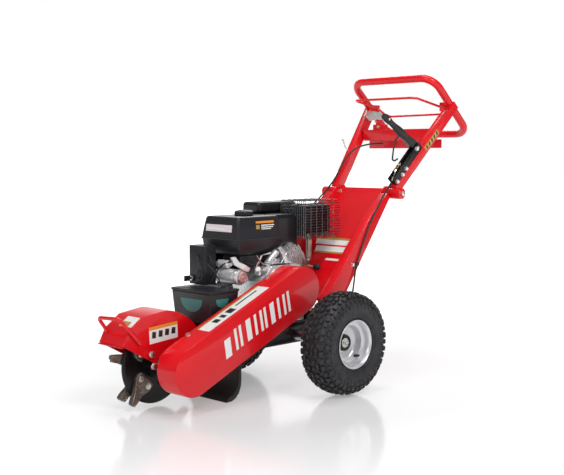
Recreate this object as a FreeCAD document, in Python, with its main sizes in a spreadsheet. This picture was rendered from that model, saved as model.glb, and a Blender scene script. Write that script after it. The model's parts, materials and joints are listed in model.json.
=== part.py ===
import FreeCAD, Part
import Sketcher
import math
import os

# A walk-behind stump grinder.  Millimetres; +X is forward, +Y is the machine's left, +Z is up.
# Every sub-part is drawn about the wheel axle's line on the floor and then moved forward by
# "axle_ahead", which puts the document's origin on the floor under the middle of the machine.

V = FreeCAD.Vector
doc = FreeCAD.newDocument("stump_grinder")
sheet = doc.addObject("Spreadsheet::Sheet", "dims")

DIMENSIONS = {
    "axle_ahead": 59.3, "axle_height": 189.0, "track": 597.0, "tyre_radius": 189.0, "tyre_width": 136.0,
    "rim_radius": 89.0, "spindle_radius": 12.5, "axle_radius": 18.0,
    "cutter_x": 581.0, "cutter_z": 145.0, "disc_radius": 138.0, "disc_y": -68.0, "disc_thick": 10.0,
    "tooth_reach": 173.0, "shaft_radius": 17.0,
    "crank_x": 55.0, "crank_z": 372.0, "crank_radius": 12.7,
    "cover_radius": 85.0, "cover_inner": 58.0, "cover_outer": 150.0, "cover_wall": 2.5,
    "driven_radius": 67.0, "drive_radius": 45.0, "belt_width": 12.6, "belt_thick": 8.0,
    "belt_one_y": 84.0, "belt_two_y": 102.0,
    "rail_bottom": 158.0, "deck_bottom": 234.0, "deck_thick": 5.0, "deck_rear": -130.0,
    "deck_front": 395.0, "deck_left": 50.0, "deck_right": -200.0, "rail_width": 40.0, "rail_wall": 5.0,
    "upright_inner": 121.0, "cheek_thick": 6.0, "upright_outer": 163.0, "fold_x": -455.0,
    "fold_z": 713.0, "pin_radius": 8.0, "collar_radius": 22.0, "collar_end": 204.0,
    "upright_side": 35.0, "upright_wall": 2.5,
    "ring_tube_radius": 16.0, "ring_half_width": 213.0, "bail_rod_radius": 5.0,
    "guard_near": -2.0, "guard_far": -134.0, "guard_plate": 3.0, "lift_rod_radius": 6.5,
}
for row, (alias, value) in enumerate(DIMENSIONS.items(), start=1):
    sheet.set(f"A{row}", alias.replace("_", " "))
    sheet.set(f"B{row}", str(value))
    sheet.setAlias(f"B{row}", alias)
doc.recompute()


class Size:
    """A length with the spreadsheet expression that it comes from."""

    def __init__(self, value, text):
        self.value = value
        self.text = text

    def _with(self, other, sign, swap=False):
        a, b = (as_size(other), self) if swap else (self, as_size(other))
        work = {"+": a.value + b.value, "-": a.value - b.value, "*": a.value * b.value}
        value = a.value / b.value if sign == "/" else work[sign]
        return Size(value, f"({a.text} {sign} {b.text})")

    def __add__(self, other):
        return self._with(other, "+")

    def __sub__(self, other):
        return self._with(other, "-")

    def __mul__(self, other):
        return self._with(other, "*")

    def __truediv__(self, other):
        return self._with(other, "/")

    def __radd__(self, other):
        return self._with(other, "+", True)

    def __rsub__(self, other):
        return self._with(other, "-", True)

    def __rmul__(self, other):
        return self._with(other, "*", True)

    def __neg__(self):
        return Size(-self.value, f"(-1 * {self.text})")


def as_size(value):
    return value if isinstance(value, Size) else Size(float(value), f"{float(value)}")


def number(value):
    return value.value if isinstance(value, Size) else float(value)


def dim(alias):
    return Size(float(sheet.get(alias)), f"dims.{alias}")


def bind(thing, path, value):
    """Give a property its size: an expression on the sheet, or a plain number."""
    if isinstance(value, Size):
        thing.setExpression(path, value.text)
    elif "[" in path or "." in path:
        thing.setExpression(path, f"{float(value)}")
    else:
        setattr(thing, path, value)


SUB_PARTS = {}
HOME = FreeCAD.Placement()


def keep(node, thing, place=HOME):
    """List a finished object as a sub-part: its Label names its file."""
    thing.Label = node
    thing.Placement = place
    SUB_PARTS[node] = thing
    return thing


# ---- Sketches and PartDesign features -------------------------------------------------------

def new_body(node):
    return doc.addObject("PartDesign::Body", node)


def new_sketch(body, plane, offset=0.0):
    """A sketch on one of the body's origin planes, moved along that plane's normal."""
    sketch = body.newObject("Sketcher::SketchObject", body.Name + "_sketch")
    origin_plane = [f for f in body.Origin.OriginFeatures if f.Role == plane][0]
    sketch.AttachmentSupport = [(origin_plane, "")]
    sketch.MapMode = "FlatFace"
    bind(sketch, "AttachmentOffset.Base.z", offset)
    return sketch


def fix_point(sketch, geometry, position, point):
    """Hold one point of a sketch at a place measured from the sketch's origin."""
    for kind, value in zip(("DistanceX", "DistanceY"), point):
        index = sketch.addConstraint(
            Sketcher.Constraint(kind, -1, 1, geometry, position, number(value)))
        if isinstance(value, Size):
            sketch.setExpression(f"Constraints[{index}]", value.text)


def polygon(sketch, points):
    """A closed outline of straight edges through the points."""
    corners = [V(number(u), number(v), 0) for u, v in points]
    first = sketch.GeometryCount
    count = len(corners)
    for i, corner in enumerate(corners):
        sketch.addGeometry(Part.LineSegment(corner, corners[(i + 1) % count]), False)
    for i in range(count):
        after = first + (i + 1) % count
        sketch.addConstraint(Sketcher.Constraint("Coincident", first + i, 2, after, 1))
    for i, point in enumerate(points):
        fix_point(sketch, first + i, 1, point)


def circle(sketch, centre, radius):
    start = V(number(centre[0]), number(centre[1]), 0)
    index = sketch.addGeometry(Part.Circle(start, V(0, 0, 1), number(radius)), False)
    fix_point(sketch, index, 3, centre)
    held = sketch.addConstraint(Sketcher.Constraint("Radius", index, number(radius)))
    if isinstance(radius, Size):
        sketch.setExpression(f"Constraints[{held}]", radius.text)


def belt_line(sketch, centre_a, radius_a, centre_b, radius_b):
    """The outline round two circles: two arcs joined by their outer tangents."""
    ax, az, bx, bz = [number(c) for c in (*centre_a, *centre_b)]
    ra, rb = number(radius_a), number(radius_b)
    along = math.atan2(bz - az, bx - ax)
    lean = math.acos((ra - rb) / math.hypot(bx - ax, bz - az))
    left, right = along + lean, along - lean
    arc_a = sketch.addGeometry(Part.ArcOfCircle(
        Part.Circle(V(ax, az, 0), V(0, 0, 1), ra), left, right + 2 * math.pi), False)
    arc_b = sketch.addGeometry(Part.ArcOfCircle(
        Part.Circle(V(bx, bz, 0), V(0, 0, 1), rb), right, left), False)

    def at(x, z, radius, angle):
        return V(x + radius * math.cos(angle), z + radius * math.sin(angle), 0)

    low = sketch.addGeometry(Part.LineSegment(at(ax, az, ra, right), at(bx, bz, rb, right)), False)
    high = sketch.addGeometry(Part.LineSegment(at(bx, bz, rb, left), at(ax, az, ra, left)), False)
    for joint in ((arc_a, 2, low, 1), (low, 2, arc_b, 1), (arc_b, 2, high, 1), (high, 2, arc_a, 1)):
        sketch.addConstraint(Sketcher.Constraint("Tangent", *joint))
    for arc, centre, radius in ((arc_a, centre_a, radius_a), (arc_b, centre_b, radius_b)):
        fix_point(sketch, arc, 3, centre)
        held = sketch.addConstraint(Sketcher.Constraint("Radius", arc, number(radius)))
        if isinstance(radius, Size):
            sketch.setExpression(f"Constraints[{held}]", radius.text)


def pad(body, sketch, length):
    feature = body.newObject("PartDesign::Pad", body.Name + "_pad")
    feature.Profile = sketch
    bind(feature, "Length", length)
    return feature


def pocket(body, sketch, length):
    """Cut along the sketch's own normal, the way a pad from it would grow."""
    feature = body.newObject("PartDesign::Pocket", body.Name + "_pocket")
    feature.Profile = sketch
    feature.Reversed = True
    bind(feature, "Length", length)
    return feature


def across(body, outline, low, high, cut=False):
    """Extrude an outline drawn in X and Z between two places along Y."""
    sketch = new_sketch(body, "XZ_Plane", -as_size(high))
    outline(sketch)
    return (pocket if cut else pad)(body, sketch, as_size(high) - low)


def upward(body, outline, low, high, cut=False):
    """Extrude an outline drawn in X and Y between two heights."""
    sketch = new_sketch(body, "XY_Plane", as_size(low))
    outline(sketch)
    return (pocket if cut else pad)(body, sketch, as_size(high) - low)


def lengthwise(body, outline, low, high, cut=False):
    """Extrude an outline drawn in Y and Z between two places along X."""
    sketch = new_sketch(body, "YZ_Plane", as_size(low))
    outline(sketch)
    return (pocket if cut else pad)(body, sketch, as_size(high) - low)


def round_edges(body, direction, radius, test=None):
    """Fillet the body's straight edges that run along a direction."""
    doc.recompute()
    tip = body.Tip
    names = []
    for i, edge in enumerate(tip.Shape.Edges, start=1):
        if edge.Curve.TypeId != "Part::GeomLine":
            continue
        if abs(edge.Curve.Direction.dot(V(*direction))) < 0.999:
            continue
        if test is None or test(edge.CenterOfMass):
            names.append(f"Edge{i}")
    feature = body.newObject("PartDesign::Fillet", body.Name + "_fillet")
    feature.Base = (tip, names)
    bind(feature, "Radius", radius)
    return feature


def turned(node, outline, place=HOME):
    """Turn a half section, drawn as (distance along Y, radius), about the Y axis."""
    body = new_body(node)
    sketch = new_sketch(body, "YZ_Plane")
    polygon(sketch, outline)
    feature = body.newObject("PartDesign::Revolution", node + "_turn")
    feature.Profile = sketch
    feature.ReferenceAxis = (sketch, ["H_Axis"])
    feature.Angle = 360.0
    return keep(node, body, place)


# ---- Primitives and booleans ----------------------------------------------------------------

def block(x_range, y_range, z_range):
    thing = doc.addObject("Part::Box", "block")
    for prop, axis, (low, high) in zip(("Length", "Width", "Height"), "xyz",
                                       (x_range, y_range, z_range)):
        bind(thing, prop, as_size(high) - low)
        bind(thing, f"Placement.Base.{axis}", low)
    return thing


def rod(start, direction, radius, length):
    """A cylinder from a point along a direction."""
    thing = doc.addObject("Part::Cylinder", "rod")
    bind(thing, "Radius", radius)
    bind(thing, "Height", length)
    thing.Placement.Rotation = FreeCAD.Rotation(V(0, 0, 1), V(*direction))
    for axis, value in zip("xyz", start):
        bind(thing, f"Placement.Base.{axis}", value)
    return thing


def hexagon(start, direction, across_flats, length):
    thing = doc.addObject("Part::Prism", "hexagon")
    thing.Polygon = 6
    thing.Circumradius = number(across_flats) / math.sqrt(3)
    thing.Height = length
    thing.Placement = FreeCAD.Placement(
        V(*[number(c) for c in start]), FreeCAD.Rotation(V(0, 0, 1), V(*direction)))
    return thing


def joined(*things):
    fuse = doc.addObject("Part::MultiFuse", "joined")
    fuse.Shapes = list(things)
    return fuse


def without(base, *tools):
    cut = doc.addObject("Part::Cut", "cut")
    cut.Base = base
    cut.Tool = tools[0] if len(tools) == 1 else joined(*tools)
    return cut


def group(node, things, place=HOME):
    """Several separate solids that share one node."""
    compound = doc.addObject("Part::Compound", node)
    compound.Links = list(things)
    return keep(node, compound, place)


def rounded(base, direction, radius, test=None):
    """Fillet the straight edges of a Part object that run along a direction."""
    doc.recompute()
    fillet = doc.addObject("Part::Fillet", "rounded")
    fillet.Base = base
    chosen = []
    for i, edge in enumerate(base.Shape.Edges, start=1):
        if edge.Curve.TypeId != "Part::GeomLine":
            continue
        if abs(edge.Curve.Direction.dot(V(*direction))) > 0.999 and (
                test is None or test(edge.CenterOfMass)):
            chosen.append((i, radius, radius))
    fillet.Edges = chosen
    return fillet


def bent_wire(points, share=0.45, most=None, closed=False):
    """Straight runs joined by tangent arcs, as large as the runs allow or at most a given radius."""
    spots = [V(*[number(c) for c in p]) for p in points]
    count = len(spots)
    edges, radii, ends = [], [], []
    corners = range(count) if closed else range(1, count - 1)
    for i in corners:
        before, here, after = spots[i - 1], spots[i], spots[(i + 1) % count]
        back, on = before - here, after - here
        half = (math.pi - back.getAngle(on)) / 2
        run = share * min(back.Length, on.Length)
        radius = run / math.tan(half)
        if most is not None and radius > most:
            radius, run = most, most * math.tan(half)
        radii.append(radius)
        back.normalize()
        on.normalize()
        toward = back + on
        toward.normalize()
        centre = here + toward * (radius / math.cos(half))
        ends.append((here + back * run, centre - toward * radius, here + on * run))
    if not closed:
        ends = [(spots[0],) * 3] + ends + [(spots[-1],) * 3]
    for i, (_, _, leave) in enumerate(ends):
        if not closed and i == len(ends) - 1:
            break
        arrive, middle, after = ends[(i + 1) % len(ends)]
        edges.append(Part.LineSegment(leave, arrive).toShape())
        if closed or i < len(ends) - 2:
            edges.append(Part.Arc(arrive, middle, after).toShape())
    return Part.Wire(edges), radii


def tube(node, points, radius, bore=0.0, most=None, closed=False, place=HOME, say=False):
    """A round bar or pipe bent in space along a route; no sketch plane holds such a route."""
    path, radii = bent_wire(points, most=most, closed=closed)
    start = path.Edges[0].valueAt(path.Edges[0].FirstParameter)
    heading = path.Edges[0].tangentAt(path.Edges[0].FirstParameter)

    def swept(size):
        ring = Part.Wire(Part.Circle(start, heading, size).toShape())
        return path.makePipeShell([ring], True, False)

    shape = swept(number(radius))
    if number(bore):
        shape = shape.cut(swept(number(bore)))
    if say:
        expected = math.pi * number(radius) ** 2 * path.Length
        print(node, "length", round(path.Length), "radii", [round(r) for r in radii],
              "volume / (section x length)", round(shape.Volume / expected, 4))
    feature = doc.addObject("Part::Feature", node)
    feature.Shape = shape
    return keep(node, feature, place)


# ---- Wheels and axle ------------------------------------------------------------------------

def make_wheel(side, sign):
    """A hollow tyre and a dished rim whose web and hub sit inboard of the wheel's middle."""
    place = FreeCAD.Placement(V(0, sign * number(dim("track")) / 2, number(dim("axle_height"))),
                              FreeCAD.Rotation())
    radius, half, rim = dim("tyre_radius"), dim("tyre_width") / 2, dim("rim_radius")
    turned(f"{side}_tyre", [
        (-half + 16, rim - 7), (-half + 16, rim + 1), (-half + 5, rim + 6), (-half, rim + 34),
        (-half + 3, radius - 42), (-half + 14, radius - 20), (-half + 34, radius - 4),
        (-half + 52, radius), (half - 52, radius), (half - 34, radius - 4), (half - 14, radius - 20),
        (half - 3, radius - 42), (half, rim + 34), (half - 5, rim + 6), (half - 16, rim + 1),
        (half - 16, rim - 7), (half - 22, rim - 7), (half - 12, rim + 10), (half - 10, radius - 44),
        (half - 36, radius - 20), (-half + 36, radius - 20), (-half + 10, radius - 44),
        (-half + 12, rim + 10), (-half + 22, rim - 7)], place)
    web, wall = rim - 23, 3.0
    section = [
        (-half + 12, rim), (-half + 15.5, rim), (-half + 15.5, rim - 7.3), (-half + 42, rim - 7.3),
        (-half + 46, web + wall), (half - 46, web + wall), (half - 42, rim - 7.3),
        (half - 15.5, rim - 7.3), (half - 15.5, rim), (half - 12, rim), (half - 12, rim - 10),
        (half - 39, rim - 10), (half - 43, web), (-5, web), (-10, web - 10), (-10, 30), (2, 30),
        (2, 23.5), (-48, 23.5), (-48, 30), (-10 - wall, 30), (-10 - wall, web - 9), (-6 - wall, web),
        (-half + 43, web), (-half + 39, rim - 10), (-half + 12, rim - 10)]
    turned(f"{side}_rim", [(sign * along, out) for along, out in section], place)


def make_wheel_bearings():
    """Two sealed bearings in each wheel hub."""
    bore = dim("spindle_radius") + 0.05
    bearings = []
    for sign in (-1, 1):
        for inboard in (48, 12):
            start = sign * (number(dim("track")) / 2 - inboard)
            ring = rod((0, start, dim("axle_height")), (0, sign, 0), 23.4, 14.0)
            hole = rod((0, start - sign, dim("axle_height")), (0, sign, 0), bore, 16.0)
            bearings.append(without(ring, hole))
    group("wheel_bearings", bearings)


def make_axle():
    outer, thread = dim("spindle_radius"), 8.0
    wheel = dim("track") / 2
    shoulder, end, tip = wheel - 49, wheel + 4, wheel + 16
    turned("axle", [
        (-tip, 0), (-tip, thread), (-end, thread), (-end, outer), (-shoulder, outer),
        (-shoulder, dim("axle_radius")), (shoulder, dim("axle_radius")), (shoulder, outer),
        (end, outer), (end, thread), (tip, thread), (tip, 0)],
        FreeCAD.Placement(V(0, 0, number(dim("axle_height"))), FreeCAD.Rotation()))


# ---- Chassis --------------------------------------------------------------------------------

def rail(web_y, inward):
    """A channel with its web on the outside and its flanges turned inward."""
    wall, width = dim("rail_wall"), dim("rail_width")
    low, high = dim("rail_bottom"), dim("deck_bottom")
    body = new_body("rail")
    sign = 1 if inward > 0 else -1
    edge = as_size(web_y)
    lengthwise(body, lambda s: polygon(s, [
        (edge, low), (edge + sign * width, low), (edge + sign * width, low + wall),
        (edge + sign * wall, low + wall), (edge + sign * wall, high - wall),
        (edge + sign * width, high - wall), (edge + sign * width, high), (edge, high)]),
        dim("deck_rear") + 5, dim("deck_front") - 8)
    first, second = sorted((number(edge), number(edge + sign * wall)))
    across(body, lambda s: circle(s, (0, dim("axle_height")), dim("axle_radius") + 0.3),
           first - 1, second + 1, cut=True)
    return body


def make_chassis():
    group("chassis_rails", [rail(dim("deck_left"), -1), rail(dim("deck_right"), 1)])
    body = new_body("deck_sheet")
    upward(body, lambda s: polygon(s, [
        (dim("deck_rear"), dim("deck_right")), (dim("deck_front"), dim("deck_right")),
        (dim("deck_front"), dim("deck_left")), (dim("deck_rear"), dim("deck_left"))]),
        dim("deck_bottom"), dim("deck_bottom") + dim("deck_thick"))
    round_edges(body, (0, 0, 1), 12.0)
    top = dim("deck_bottom") + dim("deck_thick")
    outer = dim("upright_outer")
    beam = without(block((-122, -62), (-outer, outer), (top, 276)),
                   block((-118, -66), (-outer - 1, outer + 1), (top + 4, 272)))
    hanger = without(block((-122, 34), (outer - 6, outer), (158, top)),
                     rod((0, outer - 7, dim("axle_height")), (0, 1, 0), dim("axle_radius") + 0.05, 8.0))
    keep("deck_plate", joined(body, beam, hanger))
    make_cutter_fork()


def make_cutter_fork():
    """The cross-plate on the rails' front ends, with an arm each side to the cutter bearings."""
    front, low, high = dim("deck_front"), dim("rail_bottom"), dim("deck_bottom")
    axis_x, axis_z = dim("cutter_x"), dim("cutter_z")
    pieces = [block((front - 8, front), (dim("deck_right"), dim("deck_left")), (low, high))]
    for inner, outer in ((20.0, 28.0), (-164.0, -156.0)):
        body = new_body("fork_arm")
        across(body, lambda s: polygon(s, [
            (front, low + 2), (front, high - 2), (axis_x - 10, axis_z + 46),
            (axis_x - 10, axis_z - 46)]), inner, outer)
        body.Label = "fork_arm"
        hub = rod((axis_x, inner, axis_z), (0, 1, 0), 47.0, outer - inner)
        hole = rod((axis_x, inner - 1, axis_z), (0, 1, 0), 26.0, outer - inner + 2)
        pieces.append(without(joined(body, hub), hole))
    keep("cutter_fork", joined(*pieces))


FRONT_EDGE = [(-323, 637), (-51, 327), (-62, 276)]
REAR_EDGE = [(-118, 276), (-179, 357), (-308, 532)]


def make_lower_upright(side, sign):
    """A tapered box section from the crossmember up to the fold pivot.

    Its inner wall carries on past the box's slanted top end, as the cheek that holds the fold bolt."""
    cheek, inner, outer = dim("upright_inner"), dim("upright_inner") + dim("cheek_thick"), dim("upright_outer")
    body = new_body(f"{side}_lower_upright")

    def span(outline, near, far, cut=False):
        low, high = (near, far) if sign > 0 else (-as_size(far), -as_size(near))
        across(body, outline, low, high, cut)

    span(lambda s: polygon(s, FRONT_EDGE + REAR_EDGE + [(-500, 725), (-484, 741), (-444, 741)]),
         cheek, inner)
    span(lambda s: polygon(s, FRONT_EDGE + REAR_EDGE + [(-430, 697), (-414, 714)]), inner, outer)
    span(lambda s: polygon(s, [(-419, 706), (-327, 633), (-55, 324), (-66, 270), (-113, 270),
                               (-175, 360), (-304, 535), (-425, 697)]), inner, outer - 4, cut=True)
    span(lambda s: circle(s, (dim("fold_x"), dim("fold_z")), dim("pin_radius") + 0.05),
         cheek - 1, inner + 1, cut=True)
    keep(f"{side}_lower_upright", body)


def make_rear_panel():
    """The sheet between the lower uprights, with a folded lip along its top."""
    body = new_body("rear_panel")
    across(body, lambda s: polygon(s, [
        (-466, 732), (-100, 316), (-100, 310), (-470, 728), (-486, 728), (-486, 732)]),
        -dim("upright_inner"), dim("upright_inner"))
    for low, high in ((-122, -112), (112, 122)):
        across(body, lambda s: circle(s, (dim("fold_x"), dim("fold_z")), 16.0), low, high, cut=True)
    keep("rear_panel", body)


# ---- Cutter, guard and belt drive -----------------------------------------------------------

def guard_outline():
    """The guard's section about the cutter's axis: three flat facets in front, then one long curve."""
    outline = [(182, 90), (157, 137), (98, 179)]
    first, last, steps = 90.0, 186.0, 12
    for k in range(steps + 1):
        left = 1 - k / steps
        angle = math.radians(last - (last - first) * left)
        radius = 182 + 10 * left ** 2
        outline.append((radius * math.cos(angle), radius * math.sin(angle)))
    return outline


def make_guard():
    """A folded sheet arch over the cutter between two side plates."""
    axis_x, axis_z, thick = dim("cutter_x"), dim("cutter_z"), dim("guard_plate")
    near, far = dim("guard_near"), dim("guard_far")
    outline = guard_outline()
    arch = [(axis_x + u, axis_z + v) for u, v in outline]
    sides = arch + [(axis_x - 120, axis_z - 34), (axis_x, axis_z - 30), (axis_x + 68, axis_z + 28)]
    inner = []
    for u, v in outline:
        shrink = 1 - number(thick) / math.hypot(u, v)
        inner.append((axis_x + u * shrink, axis_z + v * shrink))
    body = new_body("cutter_guard")
    across(body, lambda s: polygon(s, sides), far, near)
    mouth = inner + [(axis_x - 300, axis_z - 60), (axis_x, axis_z - 200), (axis_x + 300, axis_z + 40)]
    across(body, lambda s: polygon(s, mouth), far + thick, near - thick, cut=True)
    across(body, lambda s: circle(s, (axis_x, axis_z), 20.0), far - 1, near + 1, cut=True)
    keep("cutter_guard", body)


def make_lift_handle():
    """The bent rod on the front of the guard: a sloping loop with both ends on the arch."""
    tube("lift_handle", [(694, 4.9, 237), (782, 4.9, 330), (784, -108, 324), (746.4, -109, 274.4)],
         dim("lift_rod_radius"), most=18.0)


def make_cutter():
    axis_x, axis_z = dim("cutter_x"), dim("cutter_z")
    y, thick = dim("disc_y"), dim("disc_thick")
    place = FreeCAD.Placement(V(number(axis_x), 0, number(axis_z)), FreeCAD.Rotation())
    near, far = number(y) + number(thick) / 2, number(y) - number(thick) / 2
    turned("cutter_disc", [
        (far, 17.0), (far, 60), (far, dim("disc_radius") - 3), (far + 2, dim("disc_radius")),
        (near - 2, dim("disc_radius")), (near, dim("disc_radius") - 3), (near, 46),
        (near + 22, 46), (near + 22, 17.0)], place)
    radius = dim("shaft_radius")
    turned("cutter_shaft", [(-172, 0), (-172, radius - 1), (-171, radius), (70, radius), (70, 12.0),
                            (118, 12.0), (118, 0)], place)
    teeth, bolts = [], []
    for angles, face, outward in (((-45, 45, 135, 225), near, 1), ((-38, 15, 142, 195), far, -1)):
        for angle in angles:
            spin = FreeCAD.Placement(V(0, 0, 0), FreeCAD.Rotation(V(0, 1, 0), -angle))
            teeth.append(make_tooth(face, outward, spin))
            for along, up in ((79, 21), (79, -21)):
                start = (along, face + outward * 14, up)
                screw = hexagon(start, (0, outward, 0), 13.0, 6.0)
                screw.Placement = spin.multiply(screw.Placement)
                bolts.append(screw)
    group("cutter_teeth", teeth, place)
    group("tooth_bolts", bolts, place)
    housings = []
    for low, high in ((-2.0, 20.0), (-156.0, -134.0)):
        flange = rod((0, low, 0), (0, 1, 0), 44.0, 9.0)
        boss = rod((0, low, 0), (0, 1, 0), 33.0, high - low)
        bore = rod((0, low - 1, 0), (0, 1, 0), radius + 0.05, high - low + 2)
        housings.append(without(joined(flange, boss), bore))
    group("cutter_bearings", housings, place)


def make_tooth(face, outward, spin):
    """One bent cutting tooth: a root bolted flat on the disc and a tip that leans out past its rim."""
    reach = number(dim("tooth_reach"))
    root = doc.addObject("Part::Wedge", "tooth")
    root.Xmin, root.Xmax, root.X2min, root.X2max = 60.0, 116.0, 62.0, 112.0
    root.Ymin, root.Ymax = 0.0, 14.0
    root.Zmin, root.Zmax, root.Z2min, root.Z2max = -36.0, 36.0, -33.0, 33.0
    tip = doc.addObject("Part::Wedge", "tooth")
    tip.Xmin, tip.Xmax, tip.X2min, tip.X2max = 96.0, reach, 104.0, reach - 8
    tip.Ymin, tip.Ymax = 0.0, 26.0
    tip.Zmin, tip.Zmax, tip.Z2min, tip.Z2max = -18.0, 14.0, -14.0, 10.0
    tooth = joined(root, tip)
    turn = FreeCAD.Placement(V(0, face, 0), FreeCAD.Rotation(V(1, 0, 0), 0 if outward > 0 else 180))
    tooth.Placement = spin.multiply(turn)
    return tooth


def pulley_outline(rim, hub, bore, low, high):
    """Half section of a two-groove pulley between two places along Y."""
    half = dim("belt_width") / 2 + 0.4
    depth = rim - 9.5
    one, two = dim("belt_one_y"), dim("belt_two_y")
    return [(low, bore), (low, hub), (one - half - 4, hub), (one - half - 4, rim), (one - half, rim),
            (one - half, depth), (one + half, depth), (one + half, rim), (two - half, rim),
            (two - half, depth), (two + half, depth), (two + half, rim), (two + half + 4, rim),
            (two + half + 4, hub), (high, hub), (high, bore)]


IDLER_X, IDLER_Z, IDLER_ARM = 228.0, 302.0, 72.0


def make_belt_drive():
    cutter = (dim("cutter_x"), dim("cutter_z"))
    crank = (dim("crank_x"), dim("crank_z"))
    low, high, wall = dim("cover_inner"), dim("cover_outer"), dim("cover_wall")
    radius = dim("cover_radius")
    at_cutter = FreeCAD.Placement(V(number(cutter[0]), 0, number(cutter[1])), FreeCAD.Rotation())
    at_crank = FreeCAD.Placement(V(number(crank[0]), 0, number(crank[1])), FreeCAD.Rotation())

    body = new_body("belt_cover")
    across(body, lambda s: belt_line(s, crank, radius, cutter, radius), low, high)
    across(body, lambda s: belt_line(s, crank, radius - wall, cutter, radius - wall),
           low - 1, high - wall, cut=True)
    keep("belt_cover", body)
    body = new_body("belt_back_plate")
    across(body, lambda s: belt_line(s, crank, radius, cutter, radius), low - 3, low)
    across(body, lambda s: circle(s, cutter, 28.0), low - 4, low + 1, cut=True)
    across(body, lambda s: circle(s, crank, 40.0), low - 4, low + 1, cut=True)
    across(body, lambda s: circle(s, (IDLER_X, IDLER_Z), 7.05), low - 4, low + 1, cut=True)
    keep("belt_back_plate", body)

    turned("driven_pulley", pulley_outline(dim("driven_radius"), as_size(26), 12.0, 70, 118), at_cutter)
    turned("clutch_drum", pulley_outline(dim("drive_radius"), dim("drive_radius") - 2,
                                         dim("crank_radius") + 0.05, 64, 120), at_crank)
    belts = []
    for middle in (dim("belt_one_y"), dim("belt_two_y")):
        body = new_body("belt")
        edge = dim("belt_width") / 2
        outer = dim("belt_thick") - 8.7
        across(body, lambda s: belt_line(s, crank, dim("drive_radius") + outer + 0.2,
                                         cutter, dim("driven_radius") + outer + 0.2),
               middle - edge, middle + edge)
        across(body, lambda s: belt_line(s, crank, dim("drive_radius") - 8.7, cutter,
                                         dim("driven_radius") - 8.7),
               middle - edge - 1, middle + edge + 1, cut=True)
        belts.append(body)
    group("v_belts", belts)
    make_tensioner()


def make_tensioner():
    """The swinging arm on the back plate, and the flat pulley that leans on the belts' lower run."""
    arm = joined(rod((0, 50, 0), (0, 1, 0), 7.0, 10.0), rod((0, 60, 0), (0, 1, 0), 11.0, 8.0),
                 block((0, IDLER_ARM), (60, 68), (-8, 8)), rod((IDLER_ARM, 60, 0), (0, 1, 0), 11.0, 8.0),
                 rod((IDLER_ARM, 68, 0), (0, 1, 0), 6.0, 46.0))
    hang = FreeCAD.Placement(V(IDLER_X, 0, IDLER_Z), FreeCAD.Rotation(V(0, 1, 0), 50.5))
    keep("idler_arm", arm, hang)
    end = hang.multVec(V(IDLER_ARM, 0, 0))
    turned("idler_pulley", [(72, 6.05), (72, 20), (75, 20), (75, 16), (111, 16), (111, 20), (114, 20),
                            (114, 6.05)], FreeCAD.Placement(end, FreeCAD.Rotation()))


def make_flap():
    """The curved debris guard that hangs from the chassis behind the cutter down to the floor."""
    body = new_body("debris_flap")
    outer = [(318, 158), (318, 60), (326, 34), (342, 14), (366, 0), (392, 0), (380, 16), (352, 30),
             (336, 48), (330, 66), (330, 158)]
    across(body, lambda s: polygon(s, outer), -150.0, 96.0)
    keep("debris_flap", body)


# ---- Engine ---------------------------------------------------------------------------------

CRANKCASE = [(-58, 239), (180, 239), (180, 264), (160, 280), (160, 400), (118, 456), (-21, 458),
             (-61, 371)]
BARREL_LEAN = 25.0


def make_engine():
    """A single-cylinder engine: its crank lies across the machine, its barrel leans up and back."""
    crank = (dim("crank_x"), dim("crank_z"))
    at_crank = FreeCAD.Placement(V(number(crank[0]), 0, number(crank[1])), FreeCAD.Rotation())
    body = new_body("crankcase")
    across(body, lambda s: polygon(s, CRANKCASE), -120, 45)
    across(body, lambda s: circle(s, crank, 62.0), 45, dim("cover_inner") - 3)
    across(body, lambda s: circle(s, crank, 40.0), 45, dim("cover_inner"), cut=True)
    across(body, lambda s: polygon(s, [(-34, 262), (140, 262), (140, 400), (110, 440), (-20, 440),
                                       (-40, 400)]), -108, 33, cut=True)
    across(body, lambda s: circle(s, crank, dim("crank_radius") + 0.05), -121, 46, cut=True)
    keep("crankcase", body)

    lean = at_crank.multiply(FreeCAD.Placement(V(0, 0, 0), FreeCAD.Rotation(V(0, 1, 0), BARREL_LEAN)))
    barrel = [block((-150, -105.3), (-88, -14), (-38, 44)), block((-178, -150), (-98, -7), (-44, 50))]
    for i in range(5):
        start = -146 + 8 * i
        barrel.append(block((start, start + 3), (-102, 8), (-52, 62)))
    keep("cylinder", joined(*barrel), lean)
    keep("rocker_cover", rounded(block((-207, -178), (-86, -14), (-36, 42)), (1, 0, 0), 12.0), lean)

    housing = joined(rod((0, -196, 0), (0, 1, 0), 104.0, 76.0), block((-104, 104), (-196, -120), (0, 96)),
                     rod((0, -216, 0), (0, 1, 0), 78.0, 20.0), rod((0, -222, 0), (0, 1, 0), 60.0, 6.0))
    cavity = rod((0, -190, 0), (0, 1, 0), 98.0, 71.0)
    dome = rod((0, -213, 0), (0, 1, 0), 70.0, 24.0)
    keep("fan_housing", without(housing, cavity, dome), at_crank)
    shaft = dim("crank_radius")
    turned("crankshaft", [
        (-188, 0), (-188, 14), (-184, 14), (-184, 90), (-150, 90), (-150, 80), (-176, 80), (-176, 26),
        (-150, 26), (-150, 14), (-120.1, 14), (-120.1, shaft), (-100, shaft), (-100, 34), (-84, 34),
        (-84, 20), (4, 20), (4, 34), (20, 34), (20, shaft), (122, shaft), (122, 0)], at_crank)
    motor = joined(rod((229, -118, 421), (0, 1, 0), 28.0, 120.0), rod((229, 2, 421), (0, 1, 0), 22.0, 12.0),
                   block((160, 222), (-78, -56), (404, 440)))
    keep("starter_motor", motor)
    make_tank()
    make_exhaust()
    make_air_side()
    make_controls()


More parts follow.
